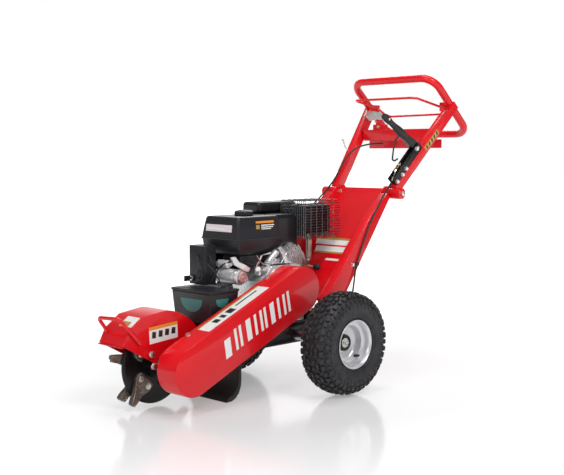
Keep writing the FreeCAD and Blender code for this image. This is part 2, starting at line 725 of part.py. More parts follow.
def make_tank():
    """A hollow tank whose two halves meet at a flange, on a foot, with a filler neck on top."""
    lower = rounded(block((34, 250), (-196, 12), (498, 556)), (0, 0, 1), 34.0)
    foot = rounded(block((60, 216), (-112, -14), (459, 498)), (0, 0, 1), 20.0)
    flange = rounded(block((29, 255), (-201, 17), (556, 560)), (0, 0, 1), 38.0)
    upper = rounded(block((34, 250), (-196, 12), (560, 640)), (0, 0, 1), 34.0)
    neck = rod((142, -75, 640), (0, 0, 1), 26.0, 10.0)
    hollow = block((46, 238), (-184, 0), (508, 632))
    throat = rod((142, -75, 600), (0, 0, 1), 20.0, 60.0)
    keep("fuel_tank", without(joined(lower, foot, flange, upper, neck), hollow, throat))
    cap = without(rod((142, -75, 640.3), (0, 0, 1), 36.0, 20.0), rod((142, -75, 630), (0, 0, 1), 26.4, 22.0))
    keep("fuel_cap", cap)


def make_exhaust():
    """A round-edged silencer over the cylinder, its pipe, and a guard of crossed wires."""
    box = rounded(rounded(block((-262, -104), (-86, 2), (552, 672)), (0, 1, 0), 24.0), (1, 0, 0), 10.0)
    pipe = joined(rod((-128, 4, 452), (0, 0, 1), 11.0, 92.0), rod((-128, 4, 452), (1, 0, 0), 11.0, 40.0),
                  rod((-128, 4, 544), (0, -0.6, 0.8), 11.0, 34.0))
    keep("muffler", joined(box, pipe))
    wires = []
    rear, front, far, near, low, high = -292.0, -84.0, -104.0, 20.0, 544.0, 690.0
    rod_size, rows = 3.0, 6
    for i in range(rows):
        z = low + (high - low - rod_size) * i / (rows - 1)
        wires.append(block((rear, front), (near - rod_size, near), (z, z + rod_size)))
        wires.append(block((rear, rear + rod_size), (far, near), (z, z + rod_size)))
    for i in range(12):
        x = rear + (front - rear - rod_size) * i / 11
        foot = low if x < -145 or x > -112 else 572.0
        wires.append(block((x, x + rod_size), (near - 2 * rod_size, near - rod_size), (foot, high)))
        wires.append(block((x, x + rod_size), (far, near - rod_size), (high - rod_size, high)))
    for y in (far, (far + near) / 2, near - rod_size):
        wires.append(block((front - rod_size, front), (y, y + rod_size), (high - 60, high)))
        wires.append(block((rear, rear + rod_size), (y, y + rod_size), (low, high)))
        wires.append(block((rear, front), (y, y + rod_size), (high - rod_size, high)))
    stays = [block((x, x + 8), (2, near - 2 * rod_size), (597, 603)) for x in (-201, -127)]
    keep("muffler_guard", joined(*wires, *stays))


def make_air_side():
    """Carburettor and air cleaner on the side away from the belts."""
    carb = joined(block((-110, -60), (-168, -124), (452, 506)), rod((-85, -146, 430), (0, 0, 1), 20.0, 22.0),
                  block((-106, -64), (-124, -98.2), (462, 484)))
    keep("carburettor", carb)
    case = rounded(block((-190, 22), (-214, -118), (560, 684)), (0, 1, 0), 24.0)
    neck = block((-108, -62), (-166, -126), (506, 560))
    keep("air_cleaner", joined(case, neck))
    keep("choke_lever", joined(rod((-74, -176, 496), (0, 1, 0), 5.0, 7.7),
                               block((-77, -71), (-176, -173), (496, 530))))
    keep("throttle_arm", joined(rod((-98, -176, 474), (0, 1, 0), 4.0, 7.7),
                                block((-101, -95), (-176, -173), (444, 474))))


def make_controls():
    """The key box in front of the tank, the key, the starter cord's grip and the oil filler."""
    box = rounded(block((262, 320), (-185, -94), (392, 534)), (0, 0, 1), 8.0)
    bracket = block((159, 262), (-150, -135), (430, 452))
    switch = rod((320, -163, 414), (1, 0, 0), 13.0, 6.0)
    cover = rod((320, -120, 426), (1, 0, 0), 22.0, 5.0)
    keep("control_box", joined(box, bracket, switch, cover))
    key = joined(rod((326.3, -163, 414), (1, 0, 0), 4.0, 8.0), block((334.3, 360), (-165, -161), (404, 424)))
    keep("ignition_key", key)
    grip = rounded(block((126, 160), (-214, -198), (312, 330)), (1, 0, 0), 6.0)
    keep("recoil_grip", grip)
    keep("oil_cap", joined(rod((126, 45.3, 292), (0, 1, 0), 14.0, 6.0), block((114, 138), (51.3, 54.5), (289, 295))))


def make_battery():
    """A tapered tray box in front of the engine with an overhanging lid."""
    walls = doc.addObject("Part::Wedge", "battery_walls")
    walls.Xmin, walls.Xmax, walls.X2min, walls.X2max = 286.0, 408.0, 280.0, 416.0
    walls.Ymin, walls.Ymax = 0.0, 111.0
    walls.Zmin, walls.Zmax, walls.Z2min, walls.Z2max = -34.0, 158.0, -42.0, 168.0
    walls.Placement = FreeCAD.Placement(V(0, 0, 268), FreeCAD.Rotation(V(1, 0, 0), 90))
    feet = [block((300, 392), (y - 10, y + 10), (239, 270)) for y in (-130, 10)]
    keep("battery_box", joined(walls, *feet))
    lid = rounded(block((276, 420), (-172, 46), (379.3, 388)), (0, 0, 1), 10.0)
    posts = [rod((300, y, 388), (0, 0, 1), 7.0, 9.0) for y in (-20, 24)]
    keep("battery_lid", joined(lid, *posts))


# ---- Handle ---------------------------------------------------------------------------------

UPRIGHT_LOW = (-470.0, 152.0, 727.0)
UPRIGHT_HIGH = (-774.0, 218.0, 1073.5)
RING_TOP = (-638.0, 1176.0)
RING_LOW = (-893.0, 955.0)
BAIL_PIVOT = (-758.0, 1066.0)


def upright_place(sign, forward=0.0, along=0.0):
    """The frame of an upper upright: Z along the tube, X out of its front face."""
    low, high = V(*UPRIGHT_LOW), V(*UPRIGHT_HIGH)
    low.y *= sign
    high.y *= sign
    turn = FreeCAD.Rotation(V(1, 0, 0), V(0, 1, 0), high - low, "ZYX")
    return FreeCAD.Placement(low, turn).multiply(FreeCAD.Placement(V(forward, 0, along), FreeCAD.Rotation()))


def make_upper_upright(side, sign):
    """A flared square tube, welded to the ring at its top and to the fold collar at its foot."""
    edge, wall = dim("upright_side"), dim("upright_wall")
    length = (V(*UPRIGHT_HIGH) - V(*UPRIGHT_LOW)).Length
    body = new_body("upright_tube")
    for half, low, high, cut in ((edge / 2, 0, length, False), (edge / 2 - wall, 20, length + 1, True)):
        upward(body, lambda s: polygon(s, [(-half, -half), (half, -half), (half, half), (-half, half)]),
               low, high, cut)
    body.Placement = upright_place(sign)
    start = number(dim("upright_inner") + dim("cheek_thick")) + 0.4
    width = number(dim("collar_end")) - start
    fold = (dim("fold_x"), dim("fold_z"))
    collar = rod((fold[0], sign * start, fold[1]), (0, sign, 0), dim("collar_radius"), width)
    bore = rod((fold[0], sign * (start - 1), fold[1]), (0, sign, 0), dim("pin_radius") + 0.05, width + 2)
    x, z = BAIL_PIVOT
    low, high = sorted((sign * 172, sign * 206))
    ear = block((x - 18, x + 16), (low, high), (z - 20, z + 16))
    ear_hole = rod((x, sign * 171, z), (0, sign, 0), dim("bail_rod_radius") + 0.05, 22.0)
    leg = (RING_TOP[0] - RING_LOW[0], 0, RING_TOP[1] - RING_LOW[1])
    ring_seat = rod((RING_LOW[0], sign * dim("ring_half_width"), RING_LOW[1]), leg,
                    dim("ring_tube_radius") + 0.05, 320.0)
    keep(f"{side}_upper_upright", without(joined(body, collar, ear), bore, ear_hole, ring_seat))


def make_handle():
    make_upper_upright("left", 1)
    make_upper_upright("right", -1)
    beam = without(block((-701, -661), (-173, 173), (930, 973)), block((-698, -664), (-174, 174), (933, 970)))
    tray = [block((-733, -674), (-192, 192), (927, 930)), block((-733, -730), (-192, 192), (894, 927))]
    keep("control_crossbar", joined(beam, *tray))
    half = number(dim("ring_half_width"))
    tube("handle_ring", [(RING_TOP[0], half, RING_TOP[1]), (RING_LOW[0], half, RING_LOW[1]),
                         (RING_LOW[0], -half, RING_LOW[1]), (RING_TOP[0], -half, RING_TOP[1])],
         dim("ring_tube_radius"), most=62.0, closed=True)
    x, z = BAIL_PIVOT
    tube("bail", [(x, 190, z), (x, 160, z), (-604, 160, 1094), (-588, 144, 1096),
                  (-588, -144, 1096), (-604, -160, 1094), (x, -160, z), (x, -190, z)],
         dim("bail_rod_radius"), most=12.0)


LEVER_DROOP = 10.0


def make_brake():
    """The hand lever on the left upright, and the disc, caliper and arm at the left wheel."""
    web = block((17.6, 20.6), (-15, 15), (14, 212))
    sides = [block((20.6, 50), (y, y + 3), (14, 212)) for y in (-15, 12)]
    pivot = (36.0, 196.0)
    hole = rod((pivot[0], -20, pivot[1]), (0, 1, 0), 5.05, 40.0)
    keep("brake_bracket", without(joined(web, *sides), hole), upright_place(1))
    lever = joined(block((-11, 96), (-6, 6), (-9, 9)), rod((90, 0, 0), (1, 0, 0), 13.0, 130.0),
                   rod((0, -15, 0), (0, 1, 0), 5.0, 30.0))
    droop = FreeCAD.Placement(V(0, 0, 0), FreeCAD.Rotation(V(0, 1, 0), LEVER_DROOP))
    keep("brake_lever", lever, upright_place(1, *pivot).multiply(droop))
    wheel = FreeCAD.Placement(V(0, number(dim("track")) / 2, number(dim("axle_height"))), FreeCAD.Rotation())
    turned("brake_disc", [(-76, 18.6), (-76, 75), (-71, 75), (-71, 28), (-48.2, 28), (-48.2, 18.6)], wheel)
    outer = dim("upright_outer")
    caliper = joined(block((-52, -20), (outer, 233), (268, 276)), block((-52, -20), (229, 233), (236, 268)),
                     block((-52, -20), (211, 218), (236, 268)), block((-128, -52), (192, 212), (268, 272)))
    keep("brake_caliper", without(caliper, rod((-36, 205, 252), (0, 1, 0), 6.05, 8.0)))
    keep("brake_arm", joined(rod((-36, 197, 252), (0, 1, 0), 6.0, 15.0), block((-124, -36), (197, 204), (247, 257))))


def make_cables():
    tube("brake_cable", [(-450, 154, 755), (-411, 158, 727), (-353, 167.3, 667), (-302, 168, 603),
                         (-260, 168, 527), (-219, 168, 445), (-203, 171, 375), (-176, 184, 322),
                         (-140, 197, 290), (-116, 202, 275.8)], 3.5, say=True)
    tube("throttle_cable", [(-704, -96, 915), (-662, -106, 914), (-621, -120, 909), (-584, -138, 898),
                            (-552, -152, 874), (-524, -161, 838), (-497, -164, 800), (-471, -165, 765),
                            (-430, -167.5, 726), (-385, -170, 691), (-330, -175, 650),
                            (-280, -178, 606), (-238, -178, 560), (-200, -177, 516), (-160, -176, 478),
                            (-119, -175, 452)], 3.5, say=True)


def make_fasteners():
    """Hexagon heads and nuts, each seated on the face it holds."""
    heads = [hexagon((x, dim("guard_near"), z), (0, 1, 0), 13.0, 7.0) for x, z in ((648, 196), (520, 210))]
    wheel, height = number(dim("track")) / 2, dim("axle_height")
    fold_x, fold_z = number(dim("fold_x")), number(dim("fold_z"))
    cheek, collar_end = number(dim("upright_inner")), number(dim("collar_end"))
    for sign in (-1, 1):
        out = (0, sign, 0)
        nut = hexagon((0, sign * (wheel + 4), height), out, 24.0, 8.0)
        heads.append(without(nut, rod((0, sign * (wheel + 3), height), out, 8.05, 10.0)))
        heads.append(joined(
            rod((fold_x, sign * cheek, fold_z), out, dim("pin_radius"), collar_end + 0.4 - cheek),
            hexagon((fold_x, sign * cheek, fold_z), (0, -sign, 0), 19.0, 8.0),
            hexagon((fold_x, sign * (collar_end + 0.4), fold_z), out, 19.0, 8.0)))
    crank_x, crank_z = number(dim("crank_x")), number(dim("crank_z"))
    run, fall = number(dim("cutter_x")) - crank_x, number(dim("cutter_z")) - crank_z
    span = math.hypot(run, fall)
    rise = V(-fall / span, 0, run / span)
    for share in (0.14, 0.86):
        seat = V(crank_x + run * share, 68, crank_z + fall * share) + rise * number(dim("cover_radius"))
        heads.append(hexagon(tuple(seat), tuple(rise), 11.0, 5.0))
    group("frame_bolts", heads)


def main():
    for side, sign in (("left", 1), ("right", -1)):
        make_wheel(side, sign)
        make_lower_upright(side, sign)
    make_wheel_bearings()
    make_axle()
    make_chassis()
    make_rear_panel()
    make_guard()
    make_lift_handle()
    make_cutter()
    make_belt_drive()
    make_flap()
    make_engine()
    make_battery()
    make_handle()
    make_brake()
    make_cables()
    make_fasteners()
    forward = FreeCAD.Placement(V(number(dim("axle_ahead")), 0, 0), FreeCAD.Rotation())
    for thing in SUB_PARTS.values():
        thing.Placement = forward.multiply(thing.Placement)
    doc.recompute()
    failed = [o.Label for o in doc.Objects if "Invalid" in o.State or "Error" in o.State]
    for node, thing in SUB_PARTS.items():
        if thing.Shape.isNull() or not thing.Shape.isValid():
            failed.append(node)
    if failed:
        raise RuntimeError(f"failed objects: {failed}")
    os.makedirs("parts", exist_ok=True)
    for node, thing in SUB_PARTS.items():
        thing.Shape.exportStep(f"parts/{node}.step")
    print(len(SUB_PARTS), "sub-parts")


main()
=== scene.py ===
import json
import math

import bmesh
import bpy
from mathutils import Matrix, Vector


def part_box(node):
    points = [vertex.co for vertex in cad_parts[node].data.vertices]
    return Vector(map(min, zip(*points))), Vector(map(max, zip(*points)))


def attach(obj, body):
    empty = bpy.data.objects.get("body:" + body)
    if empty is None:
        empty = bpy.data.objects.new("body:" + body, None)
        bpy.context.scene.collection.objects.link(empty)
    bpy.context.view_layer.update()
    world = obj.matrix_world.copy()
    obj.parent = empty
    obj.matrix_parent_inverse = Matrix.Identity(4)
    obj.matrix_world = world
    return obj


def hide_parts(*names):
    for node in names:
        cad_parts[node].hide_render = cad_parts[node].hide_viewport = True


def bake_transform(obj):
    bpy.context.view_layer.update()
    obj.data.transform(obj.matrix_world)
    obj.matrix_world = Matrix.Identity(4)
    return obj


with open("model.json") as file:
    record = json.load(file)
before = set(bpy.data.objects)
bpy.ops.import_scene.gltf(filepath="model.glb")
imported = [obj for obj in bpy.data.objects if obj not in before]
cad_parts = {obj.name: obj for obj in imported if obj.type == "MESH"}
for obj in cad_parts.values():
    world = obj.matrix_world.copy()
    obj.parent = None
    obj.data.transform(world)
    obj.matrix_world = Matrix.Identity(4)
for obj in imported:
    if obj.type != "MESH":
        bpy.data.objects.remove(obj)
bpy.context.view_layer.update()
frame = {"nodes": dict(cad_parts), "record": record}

# Places are written in millimetres from the point of the floor under the middle of the axle:
# x forward, y to the machine's left, z up.
AXLE_X = sum(corner[0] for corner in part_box("axle")) / 2
CUTTER_X, CUTTER_Z = 581.0, 145.0
CRANK_X, CRANK_Z = 55.0, 372.0
COVER_RADIUS, COVER_INNER, COVER_OUTER = 85.0, 58.0, 150.0
STARTER_X, STARTER_Z = 229, 421
UPRIGHT_LOW = Vector((-470.0, 152.0, 727.0))
UPRIGHT_HIGH = Vector((-774.0, 218.0, 1073.5))

ALONG_X, ALONG_Y, ALONG_Z = (1, 0, 0), (0, 1, 0), (0, 0, 1)


def at(x, y, z):
    """A place in millimetres as a Blender point."""
    return Vector((AXLE_X + x / 1000, y / 1000, z / 1000))


# ---- Materials ------------------------------------------------------------------------------

def set_sockets(node, values):
    for name, value in values.items():
        node.inputs[name].default_value = value


def add_node(tree, kind, values=None):
    """A shader node with these of its inputs set."""
    node = tree.nodes.new("ShaderNode" + kind)
    set_sockets(node, values or {})
    return node


def surface(name, colour, roughness=0.5, metallic=0.0, coat=0.0, coat_roughness=0.05, specular=0.5,
            shift=0.25, patch=14.0, rough_shift=0.08, grain=900.0, bump=0.05, depth=0.0004,
            wear=None, worn_colour=None):
    """A material whose colour and gloss drift softly over the object, with a fine grain in relief.

    wear adds the worn colour where a coarse noise passes that level."""
    material = bpy.data.materials.new(name)
    material.use_nodes = True
    tree = material.node_tree
    link = tree.links.new
    shader = tree.nodes["Principled BSDF"]
    set_sockets(shader, {"Metallic": metallic, "Specular IOR Level": specular,
                         "Coat Weight": coat, "Coat Roughness": coat_roughness})
    where = add_node(tree, "TexCoord")

    def noise(scale, detail=4.0):
        texture = add_node(tree, "TexNoise", {"Scale": scale, "Detail": detail})
        link(where.outputs["Object"], texture.inputs["Vector"])
        return texture.outputs["Fac"]

    ramp = add_node(tree, "ValToRGB")
    for stop, place, change in zip(ramp.color_ramp.elements, (0.3, 0.7), (1 - shift, 1 + shift)):
        stop.position = place
        stop.color = (*[min(1, c * change) for c in colour], 1)
    link(noise(patch), ramp.inputs["Fac"])
    tone = ramp.outputs["Color"]
    if wear is not None:
        level = add_node(tree, "MapRange", {"From Min": wear, "From Max": wear + 0.12})
        link(noise(patch * 3.1, 8.0), level.inputs["Value"])
        mix = add_node(tree, "Mix")
        mix.data_type = "RGBA"
        link(level.outputs["Result"], mix.inputs["Factor"])
        link(tone, mix.inputs["A"])
        mix.inputs["B"].default_value = (*worn_colour, 1)
        tone = mix.outputs["Result"]
    link(tone, shader.inputs["Base Color"])
    gloss = add_node(tree, "MapRange", {"To Min": max(0.02, roughness - rough_shift),
                                        "To Max": roughness + rough_shift})
    link(noise(patch * 2.3), gloss.inputs["Value"])
    link(gloss.outputs["Result"], shader.inputs["Roughness"])
    relief = add_node(tree, "Bump", {"Strength": bump, "Distance": depth})
    link(noise(grain), relief.inputs["Height"])
    link(relief.outputs["Normal"], shader.inputs["Normal"])
    return material


RED = surface("red_powder_coat", (0.73, 0.002, 0.008), 0.34, coat=0.4, coat_roughness=0.04,
              specular=0.3, shift=0.07, patch=5, rough_shift=0.05, grain=260, bump=0.04,
              depth=0.0006)
BLACK = surface("black_powder_coat", (0.007, 0.007, 0.008), 0.3, specular=0.3, coat=0.15,
                coat_roughness=0.25, shift=0.3, grain=700, bump=0.1)
PLASTIC = surface("black_moulded_plastic", (0.016, 0.016, 0.020), 0.34, specular=0.4, shift=0.2,
                  patch=9, grain=1500, bump=0.16, depth=0.0003)
RUBBER = surface("tyre_rubber", (0.026, 0.0245, 0.0275), 0.5, specular=0.4, shift=0.4, patch=34,
                 rough_shift=0.15, grain=700, bump=0.4, depth=0.0006, wear=0.62,
                 worn_colour=(0.060, 0.055, 0.055))
SOFT_RUBBER = surface("grip_rubber", (0.016, 0.016, 0.016), 0.55, grain=1200, bump=0.15)
SILVER = surface("silver_wheel_paint", (0.78, 0.78, 0.80), 0.32, 0.6, coat=0.3, shift=0.02,
                 patch=20, rough_shift=0.02, grain=1800, bump=0.03)
CAST = surface("brown_cast_steel", (0.20, 0.165, 0.135), 0.42, 0.75, shift=0.35, patch=42,
               rough_shift=0.15, grain=260, bump=0.45, depth=0.0008, wear=0.56,
               worn_colour=(0.42, 0.38, 0.33))
ZINC = surface("zinc_plate", (0.78, 0.77, 0.73), 0.3, 1.0, shift=0.12, patch=60)
STEEL = surface("bright_steel", (0.55, 0.55, 0.56), 0.24, 1.0, shift=0.1, patch=70, grain=1400,
                bump=0.08)
ALUMINIUM = surface("cast_aluminium", (0.80, 0.80, 0.81), 0.3, 0.7, shift=0.14, patch=40,
                    rough_shift=0.12, grain=520, bump=0.3, depth=0.0006)
# Silver plating painted near white, with little metalness: its colour is partly the plating's own
# silver and partly a painted reflection of the bright surround.
PAINTED_REFLECTION_PLATING = surface("starter_plating_painted_reflection", (0.86, 0.86, 0.87), 0.24, 0.35, shift=0.03, patch=30,
                 grain=800, bump=0.02)
COPPER = surface("pink_copper_cap", (0.72, 0.52, 0.50), 0.3, 0.6, shift=0.15, patch=60, bump=0.06)
BRASS = surface("gilt_fitting", (0.70, 0.60, 0.42), 0.28, 1.0, shift=0.15, patch=80)
HOT_STEEL = surface("heat_tinted_steel", (0.34, 0.27, 0.22), 0.38, 0.85, shift=0.4, patch=30,
                    rough_shift=0.15, grain=600, bump=0.15, wear=0.6,
                    worn_colour=(0.55, 0.50, 0.45))
DARK_WIRE = surface("dark_plated_wire", (0.16, 0.16, 0.17), 0.24, 0.9, patch=50)
TEAL = surface("teal_label", (0.035, 0.225, 0.21), 0.38, shift=0.06, patch=8, bump=0.03)
WHITE = surface("white_label", (0.86, 0.86, 0.84), 0.3, shift=0.03, patch=8, bump=0.03)
ORANGE = surface("orange_label", (0.85, 0.30, 0.03), 0.32, shift=0.05, patch=8, bump=0.03)
INK = surface("black_label", (0.02, 0.02, 0.02), 0.34, shift=0.1, patch=8, bump=0.03)
GOLD = surface("gold_label", (0.55, 0.33, 0.07), 0.3, 0.2, shift=0.05, patch=8, bump=0.03)
PINK = surface("pale_pink_label", (0.80, 0.70, 0.74), 0.3, shift=0.08, patch=12, bump=0.03)


# ---- Building pieces ------------------------------------------------------------------------

BODY_OF = {node: body for body, nodes in frame["record"]["behaviour"]["bodies"].items()
           for node in nodes}


def piece(name, mesh, material, body, replaces=(), sharp=32.0, bevel=0.0, segments=2):
    """Put a mesh in the scene as a piece that rides on a body, or that stays where it is when body
    is a tuple.

    For a piece that crosses the handle's fold, body is (lower body, upper body, start, end); these
    entries are not used."""
    thing = bpy.data.objects.new(name, mesh)
    bpy.context.scene.collection.objects.link(thing)
    mesh.materials.append(material)
    mesh.shade_smooth()
    if bevel:
        modifier = thing.modifiers.new("edges", "BEVEL")
        modifier.width = bevel / 1000
        modifier.segments = segments
        modifier.limit_method = "ANGLE"
        modifier.angle_limit = math.radians(sharp)
        modifier.harden_normals = True
    else:
        mesh.set_sharp_from_angle(angle=math.radians(sharp))
    if isinstance(body, tuple):
        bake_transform(thing)
    else:
        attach(thing, body)
    if replaces:
        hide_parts(*replaces)


def mesh_of(name, points, faces):
    """A mesh from points in millimetres, welded and with its faces turned outward."""
    mesh = bpy.data.meshes.new(name)
    mesh.from_pydata([at(*p) for p in points], [], faces)
    build = bmesh.new()
    build.from_mesh(mesh)
    bmesh.ops.remove_doubles(build, verts=build.verts, dist=1e-6)
    bmesh.ops.recalc_face_normals(build, faces=build.faces)
    build.to_mesh(mesh)
    build.free()
    return mesh


class Shape:
    """Points and faces gathered from several simple forms into one mesh."""

    def __init__(self):
        self.points = []
        self.faces = []

    def loft(self, rings, closed_ring=True, round_trip=False):
        """Join rings that have the same number of points, and cap the first and last.

        On a round trip the last ring joins the first instead."""
        count = len(rings[0])
        points = [tuple(p) for ring in rings for p in ring]
        faces = []
        for k in range(len(rings) if round_trip else len(rings) - 1):
            low, high = k * count, ((k + 1) % len(rings)) * count
            for i in range(count if closed_ring else count - 1):
                j = (i + 1) % count
                faces.append([low + i, low + j, high + j, high + i])
        if not round_trip:
            faces.append(list(range(count))[::-1])
            faces.append([len(points) - count + i for i in range(count)])
        start = len(self.points)
        self.points += points
        self.faces += [[start + i for i in face] for face in faces]
        return self

    def box(self, x, y, z):
        """A block between two values on each axis."""
        corners = [(x[i], y[j], z[k]) for k in (0, 1) for j, i in ((0, 0), (0, 1), (1, 1), (1, 0))]
        return self.loft([corners[:4], corners[4:]])

    def turn(self, outline, centre, steps=64, closed=True):
        """Turn (distance along Y, radius) points about a line parallel to Y."""
        cx, cz = centre
        rings = []
        for k in range(steps):
            a = 2 * math.pi * k / steps
            rings.append([(cx + r * math.cos(a), y, cz + r * math.sin(a)) for y, r in outline])
        return self.loft(rings, closed_ring=closed, round_trip=True)

    def lathe(self, outline, origin, axis, steps=48, flutes=0, depth=0.0):
        """Turn (distance, radius) points about an axis; flutes cut that many shallow grooves."""
        origin, axis = Vector(origin), Vector(axis).normalized()
        side = axis.orthogonal().normalized()
        other = axis.cross(side)
        rings = []
        for along, radius in outline:
            ring = []
            for k in range(steps):
                a = 2 * math.pi * k / steps
                r = radius
                if flutes and radius > depth:
                    r -= depth * (0.5 - 0.5 * math.cos(flutes * a))
                ring.append(origin + axis * along + (side * math.cos(a) + other * math.sin(a)) * r)
            rings.append(ring)
        return self.loft(rings)

    def bar(self, start, end, radius, steps=16, end_radius=None):
        """A round bar between two points."""
        a, b = Vector(start), Vector(end)
        axis = (b - a).normalized()
        side = axis.cross(Vector(ALONG_Z if abs(axis.z) < 0.9 else ALONG_X)).normalized()
        other = axis.cross(side)
        turns = [2 * math.pi * k / steps for k in range(steps)]
        return self.loft([[place + (side * math.cos(t) + other * math.sin(t)) * r for t in turns]
                          for place, r in ((a, radius), (b, end_radius or radius))])

    def hexagon(self, start, direction, flats, height):
        """A nut or a bolt's head, by its width across flats."""
        a = Vector(start)
        end = a + Vector(direction).normalized() * height
        return self.bar(a, end, flats / math.sqrt(3), steps=6)

    def strap(self, *sections):
        """A bar lofted through sections, each (x and z on one side, x and z on the other, y from
        and to)."""
        return self.loft([[(x0, y0, z0), (x1, y0, z1), (x1, y1, z1), (x0, y1, z0)]
                          for x0, z0, x1, z1, y0, y1 in sections])

    def plate(self, place, outline, low, high):
        """A flat plate: place(u, v, w) puts the outline's (u, v) points at both thicknesses w."""
        return self.loft([[place(u, v, w) for u, v in outline] for w in (low, high)])

    def slab(self, outline, low, high):
        """An outline in x and z, thick along y."""
        return self.plate(lambda x, z, y: (x, y, z), outline, low, high)

    def make(self, name, material, body="chassis", replaces=(), **looks):
        piece(name, mesh_of(name, self.points, self.faces), material, body, replaces, **looks)


def arc(cx, cz, radius, start, end, steps):
    """Points on a circle in x and z, from one angle to another in degrees."""
    angles = [math.radians(start + (end - start) * k / steps) for k in range(steps + 1)]
    return [(cx + radius * math.cos(a), cz + radius * math.sin(a)) for a in angles]


def rounded_path(points, radius, steps, closed):
    """A route of straight runs with its corners turned into arcs."""
    spots = [Vector(p) for p in points]
    path = []
    for i, here in enumerate(spots):
        if not closed and i in (0, len(spots) - 1):
            path.append(here)
            continue
        back, on = spots[i - 1] - here, spots[(i + 1) % len(spots)] - here
        half = (math.pi - back.angle(on)) / 2
        run = min(radius * math.tan(half), 0.49 * min(back.length, on.length))
        size = run / math.tan(half)
        back.normalize()
        on.normalize()
        middle = here + (back + on).normalized() * (size / math.cos(half))
        first, last = (here + way * run - middle for way in (back, on))
        for k in range(steps + 1):
            path.append(middle + first.normalized().slerp(last.normalized(), k / steps) * size)
    return path


def bent_rod(name, points, radius, material, body="chassis", replaces=(), bend=12.0, closed=False,
             steps=8):
    """A round rod or tube bent along a route of straight runs."""
    path = rounded_path(points, bend, steps, closed)
    curve_piece(name, path, radius, material, body, replaces, closed)


def curve_piece(name, path, radius, material, body="chassis", replaces=(), closed=False,
                kind="POLY"):
    """A bevelled curve turned to a mesh; a NURBS path is smoothed between its points."""
    curve = bpy.data.curves.new(name, "CURVE")
    curve.dimensions = "3D"
    curve.bevel_depth = radius / 1000
    curve.bevel_resolution = 6
    curve.use_fill_caps = True
    spline = curve.splines.new(kind)
    spline.points.add(len(path) - 1)
    for spot, p in zip(spline.points, path):
        spot.co = (*at(*p), 1)
    spline.use_cyclic_u = closed
    if kind == "NURBS":
        spline.order_u = 3
        spline.use_endpoint_u = True
        spline.resolution_u = 10
    maker = bpy.data.objects.new(name + "_maker", curve)
    bpy.context.scene.collection.objects.link(maker)
    bpy.context.view_layer.update()
    graph = bpy.context.evaluated_depsgraph_get()
    mesh = bpy.data.meshes.new_from_object(maker.evaluated_get(graph))
    mesh.name = name
    mesh.materials.clear()
    bpy.data.objects.remove(maker)
    bpy.data.curves.remove(curve)
    piece(name, mesh, material, body, replaces, sharp=50)


def label(name, corners, material, body="chassis", lift=0.3):
    """A thin sticker on a flat face; its corners run anticlockwise as seen from outside."""
    spots = [Vector(c) for c in corners]
    out = (spots[1] - spots[0]).cross(spots[-1] - spots[0]).normalized()
    shape = Shape().loft([[p - out * 0.1 for p in spots], [p + out * lift for p in spots]])
    shape.make(name, material, body)


def sticker(name, place, u, v, material, body="chassis", lift=0.3):
    """A sticker over a range of u and v on the face that place(u, v) describes."""
    label(name, [place(u[0], v[0]), place(u[1], v[0]), place(u[1], v[1]), place(u[0], v[1])],
          material, body, lift)


def soften(node, material, bevel=1.2, sharp=32.0, segments=2):
    """The CAD node's own form with its edges eased, standing in for the node."""
    source = frame["nodes"][node]
    build = bmesh.new()
    build.from_mesh(source.data)
    bmesh.ops.transform(build, matrix=source.matrix_world, verts=build.verts)
    bmesh.ops.remove_doubles(build, verts=build.verts, dist=2e-6)
    bmesh.ops.dissolve_limit(build, angle_limit=math.radians(0.6), verts=build.verts,
                             edges=build.edges)
    mesh = bpy.data.meshes.new(node + "_finish")
    build.to_mesh(mesh)
    build.free()
    piece(node + "_finish", mesh, material, BODY_OF[node], (node,), sharp, bevel, segments)


def dress(node, material):
    """Give a CAD node that stays as it is its material."""
    mesh = frame["nodes"][node].data
    if not mesh.materials:
        mesh.materials.append(material)
    for i in range(len(mesh.materials)):
        mesh.materials[i] = material
    mesh.shade_smooth()


# ---- Wheels ---------------------------------------------------------------------------------

TRACK, AXLE_HEIGHT = 597.0, 189.0
# A tyre's radius at the crown, half its width, and its radius where it is widest.
CROWN, FLANK, BELT = 179.0, 62.5, 136.0


def carcass_outline(steps=26):
    """Half a tyre's section from the middle of the tread to the bead, as (across, radius)."""
    power = 2 / 2.35
    half = []
    for k in range(steps + 1):
        t = math.pi / 2 * k / steps
        half.append((FLANK * math.sin(t) ** power,
                     BELT + (CROWN - BELT) * max(0.0, math.cos(t)) ** power))
    for k in range(1, 13):
        t = math.pi / 2 * k / 12
        half.append((FLANK - 10 * (1 - math.cos(t)), BELT - 41 * math.sin(t)))
    half += [(53, 92.5), (51.5, 90.5), (51.5, 82.5)]
    return half


CARCASS = carcass_outline()


def on_carcass(turn, across, height):
    """A place by the tyre: degrees round it, millimetres over its surface from the middle, and
    height above that surface."""
    left, walked = abs(across), 0.0
    for (y0, r0), (y1, r1) in zip(CARCASS, CARCASS[1:]):
        step = math.hypot(y1 - y0, r1 - r0)
        if walked + step >= left and step > 0:
            share = (left - walked) / step
            y, r = y0 + (y1 - y0) * share, r0 + (r1 - r0) * share
            out_y, out_r = -(r1 - r0) / step, (y1 - y0) / step
            break
        walked += step
    y, r = y + out_y * height, r + out_r * height
    a = math.radians(turn)
    return (r * math.cos(a), math.copysign(y, across), r * math.sin(a))


